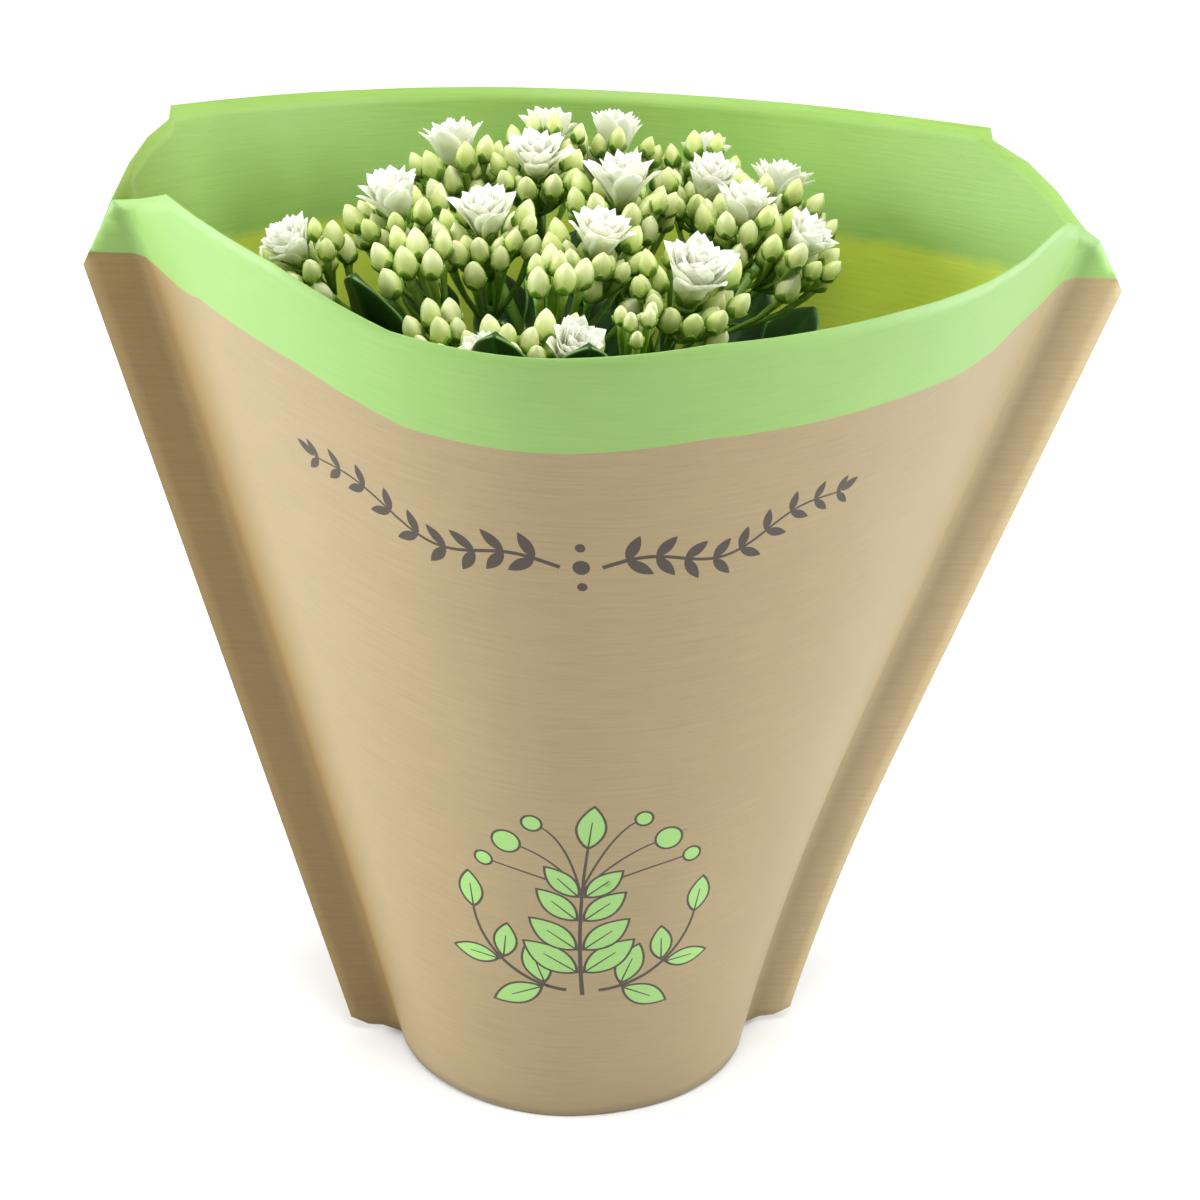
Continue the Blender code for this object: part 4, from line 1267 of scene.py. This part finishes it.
def bud_sepals(patch, centre, axis, across, up, radius, size, turn):
    """Four narrow green leaves that lie against the bud's lower part."""
    for k in range(4):
        middle = turn + math.pi / 4 + k * math.pi / 2
        outer = []
        inner = []
        for t in np.linspace(0, 1, 6):
            angles = middle + 0.66 * (1 - t ** 1.8) * np.linspace(-1, 1, 5) + 0.02 * np.arange(5)
            high = 0.01 + SEPAL_REACH * t
            body = radius * np.interp(high, *BUD_PROFILE.T)
            outer.append(bud_ring(centre, axis, across, up, high, body + 0.16 + 0.22 * t, size, angles))
            inner.append(bud_ring(centre, axis, across, up, high, body - 0.12 + 0.18 * t, size, angles))
        tones = np.repeat(np.linspace(0.3, 0.5, 6)[:, None], 5, axis=1)
        patch.blade(np.array(outer), np.array(inner), tones)


def four_blades(patch, feet, axis, turn, *shape):
    """Narrow green blades round an axis: a bloom's sepals or the small leaves on a stalk."""
    for k, foot in enumerate(feet):
        out = ray(*square_axes(axis), turn + k * math.pi / 2)
        rib_petal(patch, foot, axis, out, *shape, SEPAL_SKIN)


def petal_profile(t):
    return (1 - 0.6 * (1 - t) ** 2) * (1 - t ** 3.4) ** 0.9


def rib_petal(patch, base, axis, out, lean_foot, lean_tip, length, width, cup, start, radius, tone, skin):
    """A curved pointed blade that rises from a ring round the axis and leans out.

    Cup is how far its edges curl up, as a share of its half width. Start is the ring's height over the base.
    """
    t = np.linspace(0, 1, PETAL_ROWS) ** 0.85
    lean = blend((lean_foot, lean_tip), t ** 1.2)
    step = np.diff(t, prepend=0.0) * length
    reach = radius + np.cumsum(np.sin(lean) * step)
    high = start + np.cumsum(np.cos(lean) * step)
    middle = base + out * reach[:, None] + axis * high[:, None]
    face = -np.cos(lean)[:, None] * out + np.sin(lean)[:, None] * axis
    across = np.cross(axis, out)
    hands = PETAL_HANDS
    half = width / 2 * petal_profile(t) + 0.04
    point = middle[:, None] + across * (half[:, None] * hands)[..., None]
    point = point + face[:, None] * (cup * half[:, None] * hands ** 2)[..., None]
    thick = face[:, None] * skin * (1 - 0.65 * hands ** 2)[None, :, None] / 2
    tones = np.repeat(blend(tone, t)[:, None], len(hands), axis=1)
    patch.blade((point + thick)[:, ::-1], (point - thick)[:, ::-1], tones)


def add_bud(patch, root, centre, size, axis, turn, draw, share=1.0):
    """A bud on its pedicel, with its calyx. Draw lightens or darkens it, and share thins its pedicel."""
    across, up = square_axes(axis)
    radius = BUD_RADIUS * size * SLIM
    angles = whole_turn(BUD_SIDES)
    seam = np.abs(np.cos(2 * (angles - turn))) ** 8
    rings = []
    tones = []
    for t, r in BUD_PROFILE:
        groove = 0.11 * min(1.0, t * 3)
        rings.append(bud_ring(centre, axis, across, up, t, radius * r * (1 - groove * seam), size, angles))
        tones.append(0.66 + 0.34 * t ** 0.8 + draw - 0.06 * seam)
    patch.loft(rings, np.clip(tones, 0.52, 1.0))
    foot = centre - axis * (0.5 * BUD_LENGTH * size + 0.1)
    bud_sepals(patch, centre, axis, across, up, radius, size, turn)
    ends = pedicel(root, foot, axis)
    radii = [0.62 * share, 0.6 * share, 0.62 * share, 0.85, radius * 0.52]
    patch.tube(ends, radii, [0.3, 0.38, 0.44, 0.48, 0.5], 7)


def pedicel(root, foot, axis):
    """A slightly bent run from the stalk to a flower's foot."""
    reach = np.linalg.norm(foot - root)
    bend = foot - axis * reach * 0.45
    return bent(root, bend, foot, (0.0, 0.3, 0.62, 0.9, 1.0))


def bud_rings(centre, size, axis, draw):
    """Places round a bloom: close under its petals, and just past their tips."""
    across, up = square_axes(axis)
    places = []
    for count, reach, rise in BUD_RINGS:
        start = draw.uniform(0, 2 * math.pi)
        for k in range(count):
            angle = start + 2 * math.pi * (k + draw.uniform(-0.25, 0.25)) / count
            out = ray(across, up, angle)
            places.append(centre + out * reach * size + axis * (rise + draw.uniform(-1.4, 1.0)) * size)
    return places


def shown_buds(heads):
    """Each head's buds: the model's, drawn together, and smaller ones among them, all kept apart."""
    draw = np.random.default_rng(SEED + 9)
    fixed = []
    for head in heads:
        for centre, size, axis in head.blooms:
            fixed += [(centre + axis * way, BLOOM_RADIUS * size * share) for way, share in KEPT_FREE]
    owners = []
    centres = []
    for index, head in enumerate(heads):
        middle = np.mean([centre for centre, *_ in head.blooms + head.buds], axis=0)
        gather, share, lift = FRONT_HEADS.get(head.spray.name, (GATHER, 1.0, 0.0))
        for centre, size in head.buds:
            owners.append((index, size * share, True))
            centres.append(middle + (centre - middle) * gather + np.array((0, 0, lift)))
        for bloom in head.blooms:
            for place in bud_rings(*bloom, draw):
                owners.append((index, draw.uniform(*RING_BUD_SIZES), False))
                centres.append(place)
    centres = np.array(centres)
    radii = np.array([BUD_RADIUS * SLIM * size + 0.25 for _, size, _ in owners])
    weight = np.array([0.6 if main else 1.0 for _, _, main in owners])[:, None]
    blooms = np.array([centre for centre, _ in fixed])
    bloom_reach = radii[:, None] + np.array([radius for _, radius in fixed])[None, :]
    among = radii[:, None] + radii[None, :] + 0.15
    np.fill_diagonal(among, 0.0)
    samples = leaf_samples()
    for _ in range(BUD_ROUNDS):
        centres = centres + push_away(centres, centres, among) * weight
        centres = centres + push_away(centres, blooms, bloom_reach)
        centres = centres + push_away(centres, samples, radii[:, None] + 1.6)
    mine = [[] for _ in heads]
    for (owner, size, main), centre in zip(owners, centres):
        mine[owner].append((centre, size, main))
    return mine


def make_spray(head, buds, finish, draw):
    """A stalk, its knob, and the pedicels, sepals and buds that leave it."""
    patch = Patch()
    shares = np.linspace(0, 1, 14)
    points = stalk_curve(head, shares)
    patch.tube(points, 1.36 - 0.16 * shares, 0.16 + 0.26 * shares, 12)
    last = unit(points[-1] - points[-2])
    knob = [head.hub + last * way for way in (-2.2, -0.4, 0.9, 1.6)]
    patch.tube(knob, [1.25, 1.5, 1.2, 0.3], [0.26, 0.28, 0.3, 0.3], 10)
    roots = []
    for centre, size, axis in head.blooms:
        root = head.hub - last * 0.5
        foot = centre - axis * BLOOM_BASE * size
        ends = pedicel(root, foot - axis * 2.6, axis) + [foot - axis * 1.0, foot - axis * 0.3]
        patch.tube(ends, BLOOM_TUBE[0] + [2.0 * size, 2.3 * size], BLOOM_TUBE[1], 10)
        feet = [foot - axis * 1.2] * 4
        shape = (0.15, 0.75, 4.6 * size, 2.5 * size, 0.35, 0.0, 1.44 * size, (0.2, 0.46))
        four_blades(patch, feet, axis, 0.4, *shape)
        roots.append((root, foot))
    mains = sorted((bud for bud in buds if bud[2]), key=lambda bud: -bud[0][2])
    for k, (centre, size, _) in enumerate(mains):
        root = head.hub - last * (1.0 + ROOT_STEP * k)
        axis = facing(centre, head.hub, BUD_UPRIGHT)
        add_bud(patch, root, centre, size, axis, 0.7 * k, draw.uniform(-0.05, 0.05))
        roots.append((root, centre - axis * BUD_LENGTH * size * 0.5))
    for centre, size, main in buds:
        if not main:
            forks = (root + (foot - root) * 0.45 for root, foot in roots)
            near = min(forks, key=lambda fork: np.linalg.norm(fork - centre))
            axis = facing(centre, near, BUD_UPRIGHT)
            add_bud(patch, near, centre, size, axis, 9.1 * size, draw.uniform(-0.12, 0.02), 0.8)
    feet = [head.hub - last * way for way in (2.0, 3.4, 2.0, 3.4)]
    four_blades(patch, feet, last, 1.1, 0.5, 0.9, 5.0, 1.9, 0.3, 0.0, 0.9, (0.2, 0.42))
    dress(patch.make("spray_" + head.spray.name + "_buds", [finish]), "bud", "spray_" + head.spray.name)


def make_bloom(number, centre, size, axis, finish, draw):
    """A double flower: pointed petals in a golden-angle spiral, spreading outside and upright inside."""
    patch = Patch()
    base = centre - axis * BLOOM_BASE * size
    across, up = square_axes(axis, 0.9 * number)
    wide = PETAL_LEAN + draw.uniform(-PETAL_LEAN_RANGE, PETAL_LEAN_RANGE)
    for k in range(PETALS):
        share = k / (PETALS - 1)
        angle = k * GOLDEN_ANGLE + draw.uniform(-0.1, 0.1)
        out = ray(across, up, angle)
        tip = blend((wide, math.radians(6)), share ** 0.8) + draw.uniform(-0.12, 0.12)
        foot = tip * blend((0.35, 0.75), share)
        length = blend(PETAL_LENGTH, share) * size * draw.uniform(0.9, 1.04)
        width, radius, start = (blend(ends, share) * size for ends in (PETAL_WIDTH, PETAL_RING, PETAL_START))
        tones = (0.05 + 0.2 * share, 1.0)
        rib_petal(patch, base, axis, out, foot, tip, length, width, 0.28, start, radius, tones, PETAL_SKIN)
    dress(patch.make(f"flower_{number:02d}", [finish]), "petal", f"bloom_{number:02d}")


def make_plant():
    heads = flower_heads()
    leaves = leaf_places()
    finishes = [leaf_material(), stem_material()]
    for shoot in range(len(SHOOT_AZIMUTHS)):
        make_shoot(shoot, leaves, heads, finishes)
    buds = shown_buds(heads)
    bud = bud_material()
    petal = petal_material()
    draw = np.random.default_rng(SEED + 3)
    number = 0
    for head, mine in zip(heads, buds):
        make_spray(head, mine, bud, draw)
        for centre, size, axis in head.blooms:
            number += 1
            make_bloom(number, centre, size, axis, petal, draw)


# Stage, light and camera
CAMERA_ELEVATION = 28.30
CAMERA_AZIMUTH = -9.97
CAMERA_ROLL = 5.0
CAMERA_DISTANCE = 513.5
CAMERA_TARGET = (0.0, 0.0, 116.6)
FOCAL_PIXELS = 2363.6
PHOTO_WIDTH = 1200
SENSOR_WIDTH = 36.0
WORLD_LIGHT = 0.62
SIDE_TINT = (0.93, 0.97, 1.0)
FLOOR_HALF = 7.0  # metres, as are the lights' places and sizes
FAR_FLOOR = (0.75, 1.1)  # from here to there the floor takes a faint light of its own, so that it stays pale
FAR_GLOW = 0.42
# Name, place, what it faces, width, height, power and colour.
LIGHTS = (
    ("left_window", (-1.08, 0.12, 0.3), (0, 0, 0.1), 0.45, 0.9, 19.0, SIDE_TINT),
    ("right_window", (1.08, 0.02, 0.3), (0, 0, 0.1), 0.45, 0.9, 14.0, SIDE_TINT),
    ("ceiling", (0.0, -0.2, 1.3), (0, 0, 0.15), 0.9, 0.9, 15.0, (1, 1, 1)),
)


def make_camera():
    """The photograph's view, with its slight roll."""
    high, turn, roll = (math.radians(a) for a in (CAMERA_ELEVATION, CAMERA_AZIMUTH, CAMERA_ROLL))
    back = Vector((math.sin(turn) * math.cos(high), -math.cos(turn) * math.cos(high), math.sin(high)))
    right = (-back).cross(Vector((0, 0, 1))).normalized()
    up = right.cross(-back)
    across = right * math.cos(roll) + up * math.sin(roll)
    over = up * math.cos(roll) - right * math.sin(roll)
    data = bpy.data.cameras.new("camera")
    data.sensor_width = SENSOR_WIDTH
    data.lens = FOCAL_PIXELS / PHOTO_WIDTH * data.sensor_width
    data.clip_start = 0.01
    camera = linked("camera", data)
    place = (Vector(CAMERA_TARGET) + back * CAMERA_DISTANCE) * MM
    camera.matrix_world = Matrix.Translation(place) @ Matrix((across, over, back)).transposed().to_4x4()
    bpy.context.scene.camera = camera


def area_light(name, place, target, width, height, power, colour):
    data = bpy.data.lights.new(name, "AREA")
    data.shape = "RECTANGLE"
    data.size = width
    data.size_y = height
    data.energy = power
    data.color = colour
    light = linked(name, data)
    light.location = place
    light.rotation_euler = (Vector(target) - Vector(place)).to_track_quat("-Z", "Y").to_euler()


def make_stage():
    """A pale floor, an even white world and three soft lights."""
    mesh = bpy.data.meshes.new("floor")
    corners = [(x * FLOOR_HALF, y * FLOOR_HALF, 0) for x, y in ((-1, -1), (1, -1), (1, 1), (-1, 1))]
    mesh.from_pydata(corners, [], [(0, 1, 2, 3)])
    floor = linked("floor", mesh)
    g = Graph("pale_floor", Roughness=0.9, Specular_IOR_Level=0.1)
    place = g.place()
    g.colour(g.ramp(g.noise(place, 3.0), ((0.3, (0.86, 0.86, 0.86, 1)), (0.7, (0.9, 0.9, 0.9, 1)))))
    away = g.add("VectorMath", {0: place}, operation="LENGTH").outputs["Value"]
    g.shader.inputs["Emission Color"].default_value = (1, 1, 1, 1)
    g.wire(g.span(away, *FAR_FLOOR, 0.0, FAR_GLOW), "Emission Strength")
    mesh.materials.append(g.material)
    world = bpy.data.worlds.new("studio")
    world.use_nodes = True
    world.node_tree.nodes["Background"].inputs["Color"].default_value = (1, 1, 1, 1)
    world.node_tree.nodes["Background"].inputs["Strength"].default_value = WORLD_LIGHT
    bpy.context.scene.world = world
    for light in LIGHTS:
        area_light(*light)
    bpy.context.scene.view_settings.view_transform = "Standard"


make_camera()
make_stage()
make_sleeve()
make_pot()
make_soil()
make_plant()
